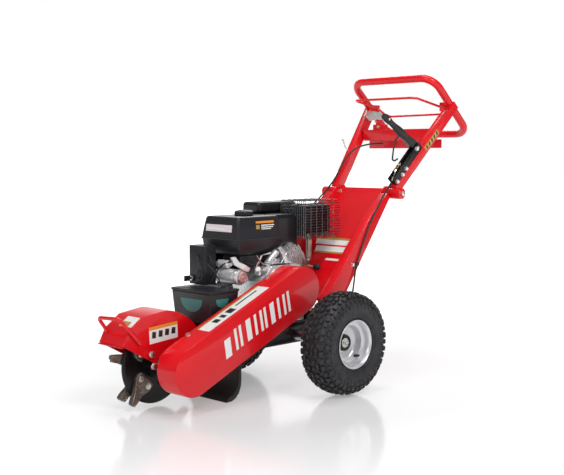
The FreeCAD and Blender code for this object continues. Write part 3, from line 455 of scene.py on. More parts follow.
# The tread repeats PITCHES times round the tyre, staggered by half a pitch between its halves.
# Each block has its start as a share of the pitch, its stations as (millimetres from the middle,
# low turn, high turn), and its height at the first station and at the last.
PITCHES = 21
TREAD = (
    (0.0, ((2, 0, 5.4), (9, 0.8, 6.6), (15, 2.6, 7.8)), 9.0, 9.0),
    (0.52, ((6, 0, 5.0), (13, 0.4, 6.0), (20, 1.8, 6.6)), 9.0, 9.0),
    (0.0, ((20, 4.6, 10.4), (27, 3.6, 9.8), (33, 3.4, 8.6)), 9.2, 9.2),
    (-0.12, ((24, 0.2, 4.6), (32, 0.2, 4.6)), 8.4, 8.4),
    (0.5, ((38, 0.2, 6.4), (45, 0.0, 7.4), (53, 0.6, 7.2)), 9.6, 9.0),
    (0.0, ((38, 1.6, 7.6), (46, 1.0, 7.4), (52, 1.4, 6.4)), 9.0, 8.6),
    (0.44, ((57, 1.4, 7.6), (64, 0.8, 8.2), (72, 1.8, 7.4)), 8.2, 6.4),
    (-0.06, ((57, 1.0, 6.2), (64, 0.4, 6.8), (70, 1.2, 5.6)), 7.6, 6.0),
    (0.2, ((76, 1.0, 5.2), (83, 0.2, 6.2), (90, 1.4, 5.4)), 4.6, 2.8),
    (0.68, ((78, 0.2, 4.2), (85, 0.4, 4.8), (93, 1.4, 4.0)), 3.8, 1.8))
BLOCK_DRAFT, BLOCK_LEAN, BLOCK_ROOT = 0.8, 1.4, -1.0


def add_block(shape, turn, hand, stations, height, last_height):
    """One tread block, lofted over the half of the tyre that hand (-1 or 1) gives.

    Its sides and its ends draw in towards its top, and its foot is sunk in the carcass."""
    rings = []
    last = len(stations) - 1
    for k, (across, low, high) in enumerate(stations):
        top = height + (last_height - height) * k / last
        lean = BLOCK_LEAN * (1 if k == 0 else -1 if k == last else 0)
        foot, crest = hand * across, hand * (across + lean)
        rings.append([on_carcass(turn + low, foot, BLOCK_ROOT),
                      on_carcass(turn + low + BLOCK_DRAFT, crest, top),
                      on_carcass(turn + high - BLOCK_DRAFT, crest, top),
                      on_carcass(turn + high, foot, BLOCK_ROOT)])
    shape.loft(rings)


def make_on_wheel(shape, side, name, material, *replaces, **looks):
    """Make a shape drawn about the wheel's middle, out along +y, at the wheel on that side.

    name and replaces are for one side's piece and nodes, without the side's own name."""
    sign = 1 if side == "left" else -1
    shape.points = [(x, sign * (y + TRACK / 2), z + AXLE_HEIGHT) for x, y, z in shape.points]
    shape.make(f"{side}_{name}", material, looks.pop("body", f"{side}_wheel"),
               [f"{side}_{node}" for node in replaces], **looks)


def tyre(side):
    """A knobbly all-terrain tyre: a round carcass with rounded blocks that wrap its shoulders."""
    body = Shape()
    body.turn([(-y, r) for y, r in CARCASS[::-1]] + CARCASS[1:], (0, 0), steps=128, closed=False)
    for r in (99.5, 108):
        y = FLANK - 10 * (1 - math.cos(math.asin((BELT - r) / 41)))
        body.turn([(y - 1, r - 1.6), (y + 0.9, r - 0.8), (y + 0.9, r + 0.8), (y - 1, r + 1.6)],
                  (0, 0), 96)
    make_on_wheel(body, side, "tyre_carcass", RUBBER, "tyre", sharp=40)
    blocks = Shape()
    pitch = 360 / PITCHES
    for k in range(PITCHES):
        for hand in (-1, 1):
            turn = k * pitch + (0.5 * pitch if hand > 0 else 0)
            for start, stations, height, last_height in TREAD:
                add_block(blocks, turn + start * pitch, hand, stations, height, last_height)
    make_on_wheel(blocks, side, "tyre_blocks", RUBBER, sharp=28, bevel=1.6)


def wheel(side):
    """A painted pressed-steel rim with rolled edges, a dished web, a dust cap and a valve."""
    lip = [(54.5 + 2.4 * math.cos(t), 86.6 + 2.4 * math.sin(t))
           for t in (math.radians(d) for d in range(-60, 181, 30))]
    section = lip + [(52.1, 82.0), (26, 81.5), (22.5, 70.5), (19, 69), (-19, 69), (-22.5, 70.5),
                     (-26, 81.5), (-52.1, 82.0)]
    section += [(-y, r) for y, r in lip[::-1]]
    section += [(-52, 79), (-29, 78.8), (-25.5, 67.5), (-22, 66), (-12, 66), (-16, 56), (-16, 30),
                (-48, 30), (-48, 23.6), (2, 23.6), (2, 30), (-9, 31), (-11, 34), (-11, 44),
                (-7.5, 49), (-7.5, 58), (-4, 64), (0, 66), (22, 66), (25.5, 67.5), (29, 78.8),
                (46, 79), (50, 80.5)]
    rim = Shape().turn(section, (0, 0), 112)
    make_on_wheel(rim, side, "rim_pressing", SILVER, "rim", sharp=40)
    cap = Shape().turn([(-7, 12.9), (-7, 30.5), (4, 30.5), (8.5, 28), (9.5, 24), (7, 21), (4, 20.5),
                        (4, 12.9)], (0, 0), 48)
    make_on_wheel(cap, side, "dust_cap", PLASTIC, sharp=35)
    valve = Shape()
    foot, tip = Vector((-44, 12, -52)), Vector((-38, 38, -47))
    valve.bar(foot, foot.lerp(tip, 0.55), 6.5, end_radius=5.0).bar(foot.lerp(tip, 0.5), tip, 4.0)
    valve.turn([(-8, 4.5), (-5.6, 4.5), (-5.6, 0.1), (-8, 0.1)], (22, -48), 16)
    make_on_wheel(valve, side, "valve_stem", SOFT_RUBBER, sharp=35)
    washer = Shape().turn([(4.2, 8.4), (4.2, 17), (6.2, 17), (6.2, 8.4)], (0, 0), 40)
    make_on_wheel(washer, side, "axle_washer", ZINC, body="chassis", sharp=35)


# ---- Guard, cutter and belt cover -----------------------------------------------------------

# The guard's plates, the thickness of its sheet, and the corners of its front facets, the last
# as places from the cutter's axis.
GUARD_NEAR, GUARD_FAR, GUARD_SHEET = -2.0, -134.0, 3.0
GUARD_FRONT = [(182, 90), (157, 137), (98, 179)]


def guard_arch(shrink=0.0):
    """The guard's section: three flat front facets, then one long arc."""
    arch = list(GUARD_FRONT)
    for k in range(25):
        a = math.radians(90 + 96 * k / 24)
        radius = 182 + 10 * (1 - k / 24) ** 2
        arch.append((radius * math.cos(a), radius * math.sin(a)))
    kept = [1 - shrink / math.hypot(u, v) for u, v in arch]
    return [(CUTTER_X + u * share, CUTTER_Z + v * share) for share, (u, v) in zip(kept, arch)]


def cutter_guard():
    """Two side plates under an arched sheet, with a folded lip in front and a lifting handle."""
    outer = guard_arch()
    under = [(CUTTER_X - 120, CUTTER_Z - 34), (CUTTER_X, CUTTER_Z - 30),
             (CUTTER_X + 68, CUTTER_Z + 28)]
    for side, low, nodes in (("near", GUARD_NEAR - GUARD_SHEET, ("cutter_guard",)),
                                    ("far", GUARD_FAR, ())):
        plate = Shape().slab(outer + under, low, low + GUARD_SHEET)
        plate.make(f"guard_{side}_plate", RED, "chassis", nodes, bevel=1.0)
    gap = GUARD_SHEET + 0.05
    arch = Shape().slab(outer + guard_arch(GUARD_SHEET)[::-1], GUARD_FAR + gap, GUARD_NEAR - gap)
    arch.make("guard_arch_sheet", RED, bevel=0.6)
    lip = Shape().box((CUTTER_X + 178, CUTTER_X + 186), (GUARD_FAR, GUARD_NEAR),
                      (CUTTER_Z + 84, CUTTER_Z + 88))
    lip.make("guard_front_lip", RED, bevel=1.0)
    route = [(694, 4.9, 237), (782, 4.9, 330), (784, -108, 324), (746.4, -109, 274.4)]
    bent_rod("lift_handle_rod", route, 6.5, RED, "chassis", ("lift_handle",), bend=18)


def spun(angle, along, up, y):
    """A place on the cutter, turned about its axis: along is outward, up is round it."""
    a = math.radians(angle)
    return (CUTTER_X + along * math.cos(a) - up * math.sin(a), y,
            CUTTER_Z + along * math.sin(a) + up * math.cos(a))


# A cast tooth's section along its length: (outward, low and high edge, thickness).
TOOTH = ((60, -36, 34, 13), (74, -40, 38, 14), (92, -38, 36, 14), (106, -30, 26, 15),
         (120, -24, 17, 17), (134, -21, 12, 20), (150, -18, 9, 22), (163, -14, 6, 22),
         (171, -9, 3, 20))
TOOTH_EDGE, TOOTH_BOLT_REACH = 2.2, 79


def cutter():
    """The disc, its cast teeth that hook out past the rim, and their tips and bolts."""
    disc = Shape().turn([(-72.8, 18), (-72.8, 122), (-71.4, 135), (-70, 138), (-66, 138),
                         (-64.6, 135), (-63.2, 122), (-63.2, 47), (-56, 45.5), (-41.2, 45.5),
                         (-41.2, 18)], (CUTTER_X, CUTTER_Z), 120)
    disc.make("cutter_disc_face", BLACK, "cutter", ("cutter_disc",), sharp=25)
    teeth, bolts, tips = Shape(), Shape(), Shape()
    for angles, face, out in (((-45, 45, 135, 225), -63.0, 1), ((-38, 15, 142, 195), -73.0, -1)):
        for angle in angles:
            rings = []
            for along, low, high, thick in TOOTH:
                base = 0.0 if along < 125 else (along - 125) * 0.2
                edge = TOOTH_EDGE
                ring = [(low, base), (high, base), (high, base + thick - edge),
                        (high - edge, base + thick), (low + edge, base + thick),
                        (low, base + thick - edge)]
                rings.append([spun(angle, along, up, face + out * deep) for up, deep in ring])
            teeth.loft(rings)
            tips.loft([[spun(angle, along, up, face + out * deep)
                        for up, deep in ((-19, 3), (-12, 3), (-12, 23), (-19, 23))]
                       for along in (148, 168)])
            for up in (-21, 21):
                seat = Vector(spun(angle, TOOTH_BOLT_REACH, up, face + out * 14))
                top = seat + Vector((0, out * 2, 0))
                bolts.bar(seat, top, 11)
                bolts.hexagon(top, (0, out, 0), 13, 5.5)
    teeth.make("cast_teeth", CAST, "cutter", ("cutter_teeth",), sharp=38, bevel=0.9)
    tips.make("carbide_tips", STEEL, "cutter", bevel=0.8)
    bolts.make("tooth_bolt_heads", ZINC, "cutter", ("tooth_bolts",), bevel=0.5)


COVER_SPAN = math.hypot(CUTTER_X - CRANK_X, CUTTER_Z - CRANK_Z)
COVER_RUN = ((CUTTER_X - CRANK_X) / COVER_SPAN, (CUTTER_Z - CRANK_Z) / COVER_SPAN)
COVER_RISE = Vector((-COVER_RUN[1], 0, COVER_RUN[0]))


def stadium(radius, steps=32):
    """The belt cover's outline: two half circles joined by their tangents."""
    lean = math.degrees(math.atan2(CUTTER_Z - CRANK_Z, CUTTER_X - CRANK_X))
    return (arc(CRANK_X, CRANK_Z, radius, lean + 90, lean + 270, steps)
            + arc(CUTTER_X, CUTTER_Z, radius, lean - 90, lean + 90, steps))


def on_cover(along, off, y=COVER_OUTER):
    """A place on the belt cover: from the crank along its middle line, and above that line."""
    return (CRANK_X + COVER_RUN[0] * along - COVER_RUN[1] * off, y,
            CRANK_Z + COVER_RUN[1] * along + COVER_RUN[0] * off)


def belt_cover():
    """A pressed cover: a flat face with eased edges, a wrapped rim, and the sheet behind it."""
    wall = 2.5
    shell = Shape()
    shell.loft([[(x, y, z) for x, z in stadium(COVER_RADIUS - shrink)] for shrink, y in (
        (wall, COVER_OUTER - wall), (wall, COVER_INNER), (0, COVER_INNER), (0, COVER_OUTER - 2.6),
        (0.75, COVER_OUTER - 0.8), (2.6, COVER_OUTER))])
    shell.make("belt_cover_pressing", RED, "chassis", ("belt_cover",), sharp=40)
    back = Shape().slab(stadium(COVER_RADIUS), COVER_INNER - 3, COVER_INNER - 0.1)
    back.make("belt_back_sheet", RED, "chassis", ("belt_back_plate",), bevel=0.5)


def guard_bolts():
    """Washers and heads where the bearing and the cover are bolted through."""
    shape = Shape()
    for x, y, z in ((648, 5.2, 196), (652, 20.2, 158), (520, 5.2, 210)):
        shape.lathe([(0, 12), (2, 12)], (x, y, z), ALONG_Y, 32)
        shape.hexagon((x, y + 1.8, z), ALONG_Y, 18, 9)
    for share in (0.14, 0.86):
        seat = Vector(on_cover(COVER_SPAN * share, COVER_RADIUS + 0.2, 68.0))
        shape.lathe([(0, 9.5), (1.6, 9.5)], seat, COVER_RISE, 24)
        shape.hexagon(seat + COVER_RISE * 1.6, COVER_RISE, 14, 6)
    shape.make("guard_and_cover_bolts", ZINC, bevel=0.6)


# Lifts of a sticker's upper layers, so that none of them shares a surface with the one below.
SECOND_LAYER, THIRD_LAYER = 0.5, 0.8


def cover_stickers():
    """Slanted white strokes on the cover's face, and a striped panel on its rim."""
    lean = 16
    for k, (start, width, low, high) in enumerate((
            (88, 12, -36, 38), (112, 12, -36, 38), (142, 12, -34, 40), (172, 22, -34, 40),
            (214, 12, -32, 42), (236, 12, -32, 42), (266, 12, -30, 42), (296, 24, -30, 44),
            (344, 12, -30, 44), (368, 12, -30, 44), (404, 30, -34, 30))):
        label(f"cover_stripe_{k}", [on_cover(start + width, low), on_cover(start, low),
                                    on_cover(start - lean, high),
                                    on_cover(start + width - lean, high)], WHITE)

    def on_rim(y, along):
        return on_cover(along, COVER_RADIUS, y)

    for name, across, along, material in (
            ("panel", (74, 134), (452, 140), WHITE), ("band", (70, 78), (452, 140), GOLD),
            ("mark_a", (88, 120), (330, 300), INK), ("mark_b", (90, 118), (362, 345), INK),
            ("mark_c", (90, 118), (398, 376), INK), ("mark_d", (92, 100), (280, 170), INK)):
        sticker(f"cover_top_{name}", on_rim, across, along, material,
                lift=0.3 if name == "panel" else SECOND_LAYER)


def guard_stickers():
    """A banded panel with plain marks on the guard's side, and a smaller one on its front."""
    y = GUARD_NEAR
    top, base = Vector((530, y, 295.5)), Vector((528, y, 239))
    far_top, far_base = Vector((654, y, 286)), Vector((650, y, 229))

    def on_side(u, v):
        """A place on the side's panel, by shares of its width and height."""
        return top.lerp(far_top, 1 - u).lerp(base.lerp(far_base, 1 - u), 1 - v)

    sticker("guard_label_panel", on_side, (0, 1), (0, 1), WHITE)
    sticker("guard_label_band", on_side, (0, 1), (0.8, 1), ORANGE, lift=SECOND_LAYER)
    for k in range(4):
        a = 0.08 + 0.23 * k
        label(f"guard_label_mark_{k}", [on_side(a, 0.32), on_side(a + 0.14, 0.28),
                                        on_side(a + 0.16, 0.66), on_side(a + 0.03, 0.7)], INK,
              lift=SECOND_LAYER)
    facet = [Vector((CUTTER_X + u, 0, CUTTER_Z + v)) for u, v in GUARD_FRONT]

    def on_facet(y, share):
        spot = facet[1].lerp(facet[2], share)
        return (spot.x, y, spot.z)

    sticker("guard_front_panel", on_facet, (-76, -10), (0.28, 0.94), WHITE)
    sticker("guard_front_band", on_facet, (-74, -30), (0.3, 0.6), GOLD, lift=SECOND_LAYER)


def debris_flap():
    """A moulded rubber flap that hangs behind the cutter and curls forward at the floor."""
    outer = [(318, 158), (318, 70), (321, 48), (330, 26), (345, 10), (366, 1.5), (392, 0.5)]
    inner = [(380, 14), (366, 19), (352, 29), (341, 42), (333, 58), (330, 78), (330, 158)]
    flap = Shape().slab(outer + inner, -150, 96)
    flap.make("debris_flap_moulding", SOFT_RUBBER, "chassis", ("debris_flap",), bevel=2.0)


# ---- Engine ---------------------------------------------------------------------------------

def rounded_rectangle(x, y, z, radius, steps=6):
    """A level rectangle's outline with round corners."""
    ring = []
    for cx, cy, start in ((x[1] - radius, y[1] - radius, 0), (x[0] + radius, y[1] - radius, 90),
                          (x[0] + radius, y[0] + radius, 180), (x[1] - radius, y[0] + radius, 270)):
        for k in range(steps + 1):
            a = math.radians(start + 90 * k / steps)
            ring.append((cx + radius * math.cos(a), cy + radius * math.sin(a), z))
    return ring


# The tank's outline from its foot to its crown: (height, x from and to, y from and to, corner).
TANK_LEVELS = (
    (498, 62, 224, -172, -14, 8), (501, 56, 230, -178, -9, 10), (508, 48, 238, -185, -3, 12),
    (530, 39, 247, -193, 6, 14), (552, 36, 250, -196, 11, 16), (555.6, 35, 251, -197, 12, 16),
    (556, 29, 255, -201, 17, 20), (559.6, 29, 255, -201, 17, 20), (560, 32, 252, -198, 14, 17),
    (600, 33, 249, -187, 9, 14), (631, 34.5, 246, -177, 5, 12), (636, 36, 244.5, -174.5, 3, 11),
    (638.6, 39, 241.5, -171.5, 0, 9), (639.8, 44, 236, -166, -5, 7))
CAP_X, CAP_Y, CAP_Z = 142, -75, 640.3


def fuel_tank():
    """A moulded tank whose upper half leans in to a crowned top, on a welded seam."""
    shape = Shape().loft([rounded_rectangle((x0, x1), (y0, y1), z, r)
                          for z, x0, x1, y0, y1, r in TANK_LEVELS])
    shape.make("fuel_tank_shell", PLASTIC, "chassis", ("fuel_tank",), sharp=50)
    Shape().box((60, 216), (-112, -14), (459, 500)).make("tank_foot", BLACK, bevel=6, segments=3)
    neck = Shape().lathe([(-2, 27), (0.2, 27), (0.2, 20), (-2, 20)], (CAP_X, CAP_Y, CAP_Z - 0.3),
                         ALONG_Z)
    neck.make("tank_neck_ring", PLASTIC, sharp=40)
    cap = Shape().lathe([(0.4, 34.5), (1.5, 35.8), (12, 35.8), (16, 34.2), (17.6, 31)],
                        (CAP_X, CAP_Y, CAP_Z), ALONG_Z, steps=144, flutes=24, depth=1.6)
    cap.lathe([(15, 30.5), (18.4, 29.5), (19.4, 26), (19.8, 10), (20, 1)], (CAP_X, CAP_Y, CAP_Z),
              ALONG_Z)
    cap.make("fuel_cap_moulding", PLASTIC, "fuel_cap", ("fuel_cap",), sharp=40)
    grip = Shape().box((CAP_X - 28, CAP_X + 24), (CAP_Y - 4, CAP_Y + 4), (658, 662.5))
    grip.make("fuel_cap_grip", PLASTIC, "fuel_cap", bevel=1.5)

    def front(y, share):
        """A place on the tank's front, from low to high in its upper half."""
        return (251.6 - 3.3 * share, y, 566 + 44 * share)

    def flank(x, share):
        """A place on the tank's left side, from low to high in its upper half."""
        return (x, 13.3 - 5.4 * share, 566 + 44 * share)

    sticker("tank_front_label", front, (-166, -26), (0.42, 1.0), PINK, lift=SECOND_LAYER)
    label("tank_front_stripe", [front(-160, 0.6), front(-60, 0.55), front(-60, 0.7),
                                front(-160, 0.78)], WHITE, lift=THIRD_LAYER)
    sticker("tank_side_band", flank, (160, 66), (1.28, 1.1), ORANGE, lift=SECOND_LAYER)
    for k, (x0, x1, low, high) in enumerate((
            (160, 142, 0.62, 0.98), (134, 66, 0.88, 0.97), (134, 72, 0.72, 0.8),
            (134, 84, 0.58, 0.65))):
        label(f"tank_side_mark_{k}", [flank(x0, low), flank(x0, high), flank(x1, high),
                                      flank(x1, low)], GOLD if k == 0 else WHITE, lift=SECOND_LAYER)


def exhaust():
    """A pressed silencer and pipe inside a cage of crossed round wires."""
    box = Shape().box((-262, -104), (-86, 2), (552, 672))
    box.make("silencer_shell", BLACK, "chassis", ("muffler",), bevel=14, segments=4)
    seam = Shape().box((-265, -101), (-43.5, -40.5), (549, 675))
    seam.make("silencer_seam", BLACK, bevel=1.4)
    bent_rod("exhaust_pipe", [(-88, 4, 452), (-128, 4, 452), (-130, 5, 540), (-134, -18, 572)], 11,
             HOT_STEEL, bend=16)
    flange = Shape().lathe([(0, 18), (5, 18), (5, 12), (0, 12)], (-92, 4, 452), ALONG_X, 32)
    flange.make("exhaust_flange", HOT_STEEL, sharp=35)
    guard = Shape()
    x0, x1, y0, y1, low, high = -294, -86, -102, 18.5, 544, 689
    wire, upright_wire, rows, columns, short_rows = 1.6, 1.4, 15, 12, 6
    for k in range(rows):
        z = low + (high - low) * k / (rows - 1)
        back = x0 if z > 556 else x0 + 10
        guard.bar((back, y1, z), (x1, y1, z), wire, 8)
        guard.bar((x1, y1, z), (x1, y0, z), wire, 8)
    for k in range(columns):
        y = y0 + (y1 - y0) * k / (columns - 1)
        guard.bar((x0, y, high), (x1, y, high), wire, 8)
        guard.bar((x1 + 2.6, y, low), (x1 + 2.6, y, high), upright_wire, 8)
    for k in range(short_rows):
        x = x0 + 42 + (x1 - x0 - 46) * k / (short_rows - 1)
        guard.bar((x, y1 + 2.6, low), (x, y1 + 2.6, high), upright_wire, 8)
        guard.bar((x, y0, high + 2.4), (x, y1 + 2.6, high + 2.4), upright_wire, 8)
    for x in (-200, -126):
        guard.bar((x, 2, 600), (x, y1, 600), 3.0, 12)
    guard.make("wire_guard", DARK_WIRE, "chassis", ("muffler_guard",), sharp=60)


def air_cleaner():
    """The air cleaner's box and its ribbed lid."""
    base = Shape().box((-190, 22), (-214, -118), (560, 640))
    base.make("air_cleaner_base", PLASTIC, "chassis", ("air_cleaner",), bevel=12, segments=4)
    lid = Shape().box((-190, 22), (-214, -118), (641, 684))
    lid.make("air_cleaner_lid", PLASTIC, bevel=14, segments=5)
    for x in (-150, -90, -30):
        rib = Shape().box((x - 4, x + 4), (-214.8, -117.2), (655, 676))
        rib.make(f"air_cleaner_rib_{-x}", PLASTIC, bevel=2)


def castings():
    """The engine's own castings and small parts as the CAD has them, with eased edges."""
    for node, material, bevel in (
            ("crankcase", ALUMINIUM, 3.0), ("cylinder", ALUMINIUM, 0.8),
            ("rocker_cover", ALUMINIUM, 3.0), ("fan_housing", PLASTIC, 4.0),
            ("carburettor", ALUMINIUM, 1.5), ("oil_cap", PLASTIC, 1.2), ("choke_lever", ZINC, 0.6),
            ("throttle_arm", ZINC, 0.6), ("recoil_grip", SOFT_RUBBER, 3.0),
            ("crankshaft", STEEL, 0.6)):
        soften(node, material, bevel)


def starter():
    """The starter motor with its end cap, foot, solenoid and flange, and the strap above it."""
    motor = Shape().lathe([(0, 22), (2, 27), (20, 27.9), (21, 26.4), (24, 26.4), (25, 27.9),
                           (98, 27.9), (99, 26.4), (103, 26.4), (104, 27.9), (118, 27.4),
                           (120, 24)], (STARTER_X, -118, STARTER_Z), ALONG_Y, 64)
    # The body's near-white plating carries a painted reflection over its own silver.
    motor.make("starter_body", PAINTED_REFLECTION_PLATING, "chassis", ("starter_motor",), sharp=35)
    cap = Shape().lathe([(0, 21.9), (9, 21.6), (11.5, 19.5), (12, 13), (11, 12), (11, 8), (12, 7),
                         (12, 3)], (STARTER_X, 2, STARTER_Z), ALONG_Y, 48)
    cap.make("starter_end_cap", COPPER, sharp=35)
    Shape().box((160, 222), (-78, -56), (404, 440)).make("starter_foot", ALUMINIUM, bevel=3)
    coil_start = (STARTER_X + 9, -108, STARTER_Z + 45)
    coil = Shape().lathe([(0, 13), (2, 15), (52, 15), (54, 13)], coil_start, ALONG_Y, 40)
    coil.lathe([(54, 6), (66, 6)], coil_start, ALONG_Y, 16)
    # The solenoid's near-white plating carries a painted reflection over its own silver.
    coil.make("starter_solenoid", PAINTED_REFLECTION_PLATING, sharp=35)
    flange = Shape().lathe([(0, 29.6), (4, 29.6), (5, 28.4)], (STARTER_X, -10, STARTER_Z), ALONG_Y,
                           48)
    flange.make("starter_flange", ALUMINIUM, sharp=35)
    brace = Shape().strap((262, 499, 284, 497, -2, 9), (248, 480, 270, 470, 2, 11),
                          (216, 466, 232, 450, 4, 14), (190, 452, 204, 438, 0, 12))
    # The brace's near-white plating carries a painted reflection over its own silver.
    brace.make("tank_brace", PAINTED_REFLECTION_PLATING, sharp=45, bevel=2.5)


def tank_supports():
    """The breather under the tank, the cooling shroud behind it, and the tank's right mount."""
    elbow = Shape().bar((101, 10, 469), (64, 12, 500), 10, 24, end_radius=13)
    elbow.bar((120, 4, 440), (101, 10, 469), 13, 24, end_radius=11)
    elbow.bar((64, 12, 500), (60, 12.2, 503), 15, 6)
    elbow.make("breather_elbow", ALUMINIUM, sharp=45, bevel=1.5)
    shroud = Shape().strap((-84, 512, 30, 512, -112, -30), (-92, 524, 32, 524, -114, -22),
                           (-92, 628, 32, 628, -114, -22), (-84, 640, 26, 640, -108, -30))
    shroud.make("cooling_shroud", BLACK, bevel=4)
    Shape().box((168, 228), (-156, -140), (468, 506)).make("tank_mount", BLACK, bevel=3)
    post = Shape().box((170, 222), (-154, -142), (436, 469))
    post.bar((190, -140, 458), (214, -112, 462), 9, 20)
    post.make("tank_mount_post", ALUMINIUM, sharp=40, bevel=2.5)


def barrel():
    """The cylinder's cooling fins, on a barrel that leans back from the crank."""
    lean = math.radians(25)

    def on_barrel(y, z, x):
        """A place by the cylinder: x along it from the crank, z square to it."""
        return (CRANK_X + x * math.cos(lean) + z * math.sin(lean), y,
                CRANK_Z - x * math.sin(lean) + z * math.cos(lean))

    fins, pitch, thickness = Shape(), 9.5, 3
    for k in range(11):
        x = pitch * k - 176
        top = 108 if k > 1 else 86
        outline = [(-66, 60), (-66, top - 10), (-56, top), (2, top), (12, top - 12), (12, 4),
                   (2, -8), (-66, -8)]
        fins.plate(on_barrel, outline, x, x + thickness)
    fins.plate(on_barrel, [(-60, 0), (-60, 84), (0, 84), (0, 0)], -178, -66)
    fins.make("barrel_fins", ALUMINIUM, sharp=40, bevel=0.7)


def crankcase_details():
    """The intake casting and the side cover on the engine's left, with their bolts."""
    intake = Shape().strap((4, 448, 22, 440, 14, 30), (26, 500, 44, 492, 14, 30),
                           (40, 524, 56, 518, 10, 24))
    intake.strap((60, 446, 100, 446, 6, 38), (64, 470, 96, 470, 8, 34), (74, 482, 92, 480, 12, 28))
    intake.bar((150, 10, 432), (168, 26, 446), 13, 24, end_radius=10)
    intake.bar((168, 26, 446), (172, 30, 450), 12, 6)
    intake.bar((118, 30, 452), (150, 34, 440), 7, 16).bar((100, 22, 462), (126, 30, 452), 9, 20)
    intake.make("intake_casting", ALUMINIUM, sharp=40, bevel=2.0)
    face = 50
    outline = [(128, 300), (20, 300), (6, 340), (10, 410), (44, 446), (104, 446), (150, 404),
               (150, 330)]
    cover = Shape().slab(outline, face - 4, face)
    cover.make("crankcase_side_cover", ALUMINIUM, sharp=30, bevel=1.8)
    bolts = Shape()
    for x, z in ((128, 318), (28, 318), (18, 400), (50, 436), (100, 436), (138, 398)):
        bolts.hexagon((x, face, z), ALONG_Y, 12, 5)
    for x, z in ((172, 296), (172, 376), (54, 444), (-26, 448)):
        bolts.hexagon((x, 40, z), ALONG_Y, 10, 9)
    bolts.make("engine_bolts", ZINC, bevel=0.5)


def governor():
    """The governor's rods, its coil spring and its arm."""
    rods = Shape()
    rods.bar((150, 26, 470), (60, 30, 452), 2.0, 8).bar((60, 30, 452), (20, 30, 500), 2.0, 8)
    rods.bar((150, 26, 470), (176, 26, 500), 2.4, 8)
    coil_radius, advance = 3.4, 1.7

    def on_spring(k):
        """A corner of the spring, four to a turn."""
        a = 2 * math.pi * k / 4
        return (110 - k * advance, 36 + coil_radius * math.cos(a), 478 + coil_radius * math.sin(a))

    for k in range(26):
        rods.bar(on_spring(k), on_spring(k + 1), 0.8, 6)
    rods.make("governor_rods", STEEL, sharp=60)
    arm = Shape().strap((164, 458, 180, 452, 20, 24), (140, 500, 150, 497, 20, 24),
                        (96, 508, 100, 499, 20, 24))
    arm.make("governor_arm", STEEL, bevel=1.0)


def drain_cock():
    """The fuel cock's fluted knob on its stem."""
    knob = Shape().lathe([(0, 6), (2, 12), (14, 13.5), (22, 12), (26, 8)], (-150, 12, 428),
                         (-0.2, 0.9, 0.3), 60, flutes=10, depth=1.5)
    knob.make("drain_cock_knob", PLASTIC, sharp=40)
    stem = Shape().bar((-118, 0, 440), (-150, 14, 429), 6, 16)
    stem.make("drain_cock_stem", BRASS, sharp=40)


def wires():
    """The starter's and the key box's wires, and the spark plug's lead."""
    for name, route, radius in (
            ("wire_a", [(300, -96, 500), (306, -78, 488), (300, -70, 462), (292, -76, 436),
                        (296, -92, 416)], 2.4),
            ("wire_b", [(296, -96, 396), (292, -84, 410), (272, -78, 450), (252, -60, 474),
                        (216, -20, 482)], 2.2),
            ("wire_c", [(262, -90, 440), (250, -60, 490), (150, 20, 455), (90, 40, 462),
                        (20, 44, 458)], 2.6),
            ("wire_d", [(322, -106, 480), (330, -60, 470), (310, -40, 430), (300, -30, 400)], 2.4),
            ("wire_e", [(322, -135, 500), (340, -110, 470), (332, -90, 440), (322, -95, 426)], 2.2),
            ("plug_lead", [(-60, 8, 520), (-20, 14, 545), (40, 12, 530), (70, 10, 500)], 3.4)):
        curve_piece(name, route, radius, SOFT_RUBBER, kind="NURBS")


def controls():
    """The key box with its dial and collar, and the battery's box, lid, nuts and stickers."""
    soften("control_box", PLASTIC, 3.0)
    dial = Shape().lathe([(0, 22), (3, 22), (6, 19), (7, 12), (12, 10), (13, 6)], (320, -120, 426),
                         ALONG_X, 48)
    dial.make("control_box_dial", PLASTIC, sharp=35)
    collar = Shape().lathe([(6, 9.5), (7.4, 9.5), (8, 8.5), (8, 4.4), (6, 4.4)],
                           (320.3, -163, 414), ALONG_X, 36)
    collar.make("key_collar", ZINC, sharp=35)
    soften("ignition_key", PLASTIC, 0.8)
    soften("battery_box", PLASTIC, 4.0, segments=3)
    soften("battery_lid", PLASTIC, 2.0)
    nuts = Shape()
    for y in (-20, 24):
        nuts.hexagon((300, y, 388.2), ALONG_Z, 11, 5)
        nuts.lathe([(0, 6), (1.4, 6)], (300, y, 388), ALONG_Z, 16)
    nuts.make("battery_lid_nuts", ZINC, bevel=0.4)
    half_circle = [(math.cos(math.pi * k / 20), math.sin(math.pi * k / 20)) for k in range(21)]
    box_foot, box_height, box_slope = 268, 111, 8

    def on_front(y, z, lift):
        """A place on the battery box's sloping front."""
        return (408 + box_slope * (z - box_foot) / box_height + lift, y, z)

    def on_flank(x, z, lift):
        """A place on the battery box's sloping left side."""
        return (x, 34 + box_slope * (z - box_foot) / box_height + lift, z)

    decal = Shape()
    decal.plate(on_front, [(-62 - 58 * c, 355 - 47 * s) for c, s in half_circle], -0.1, 0.4)
    decal.plate(on_flank, [(358 + 30 * c, 358 - 30 * s) for c, s in half_circle], -0.1, 0.4)
    decal.make("battery_decals", TEAL, sharp=40)


# ---- Frame ----------------------------------------------------------------------------------

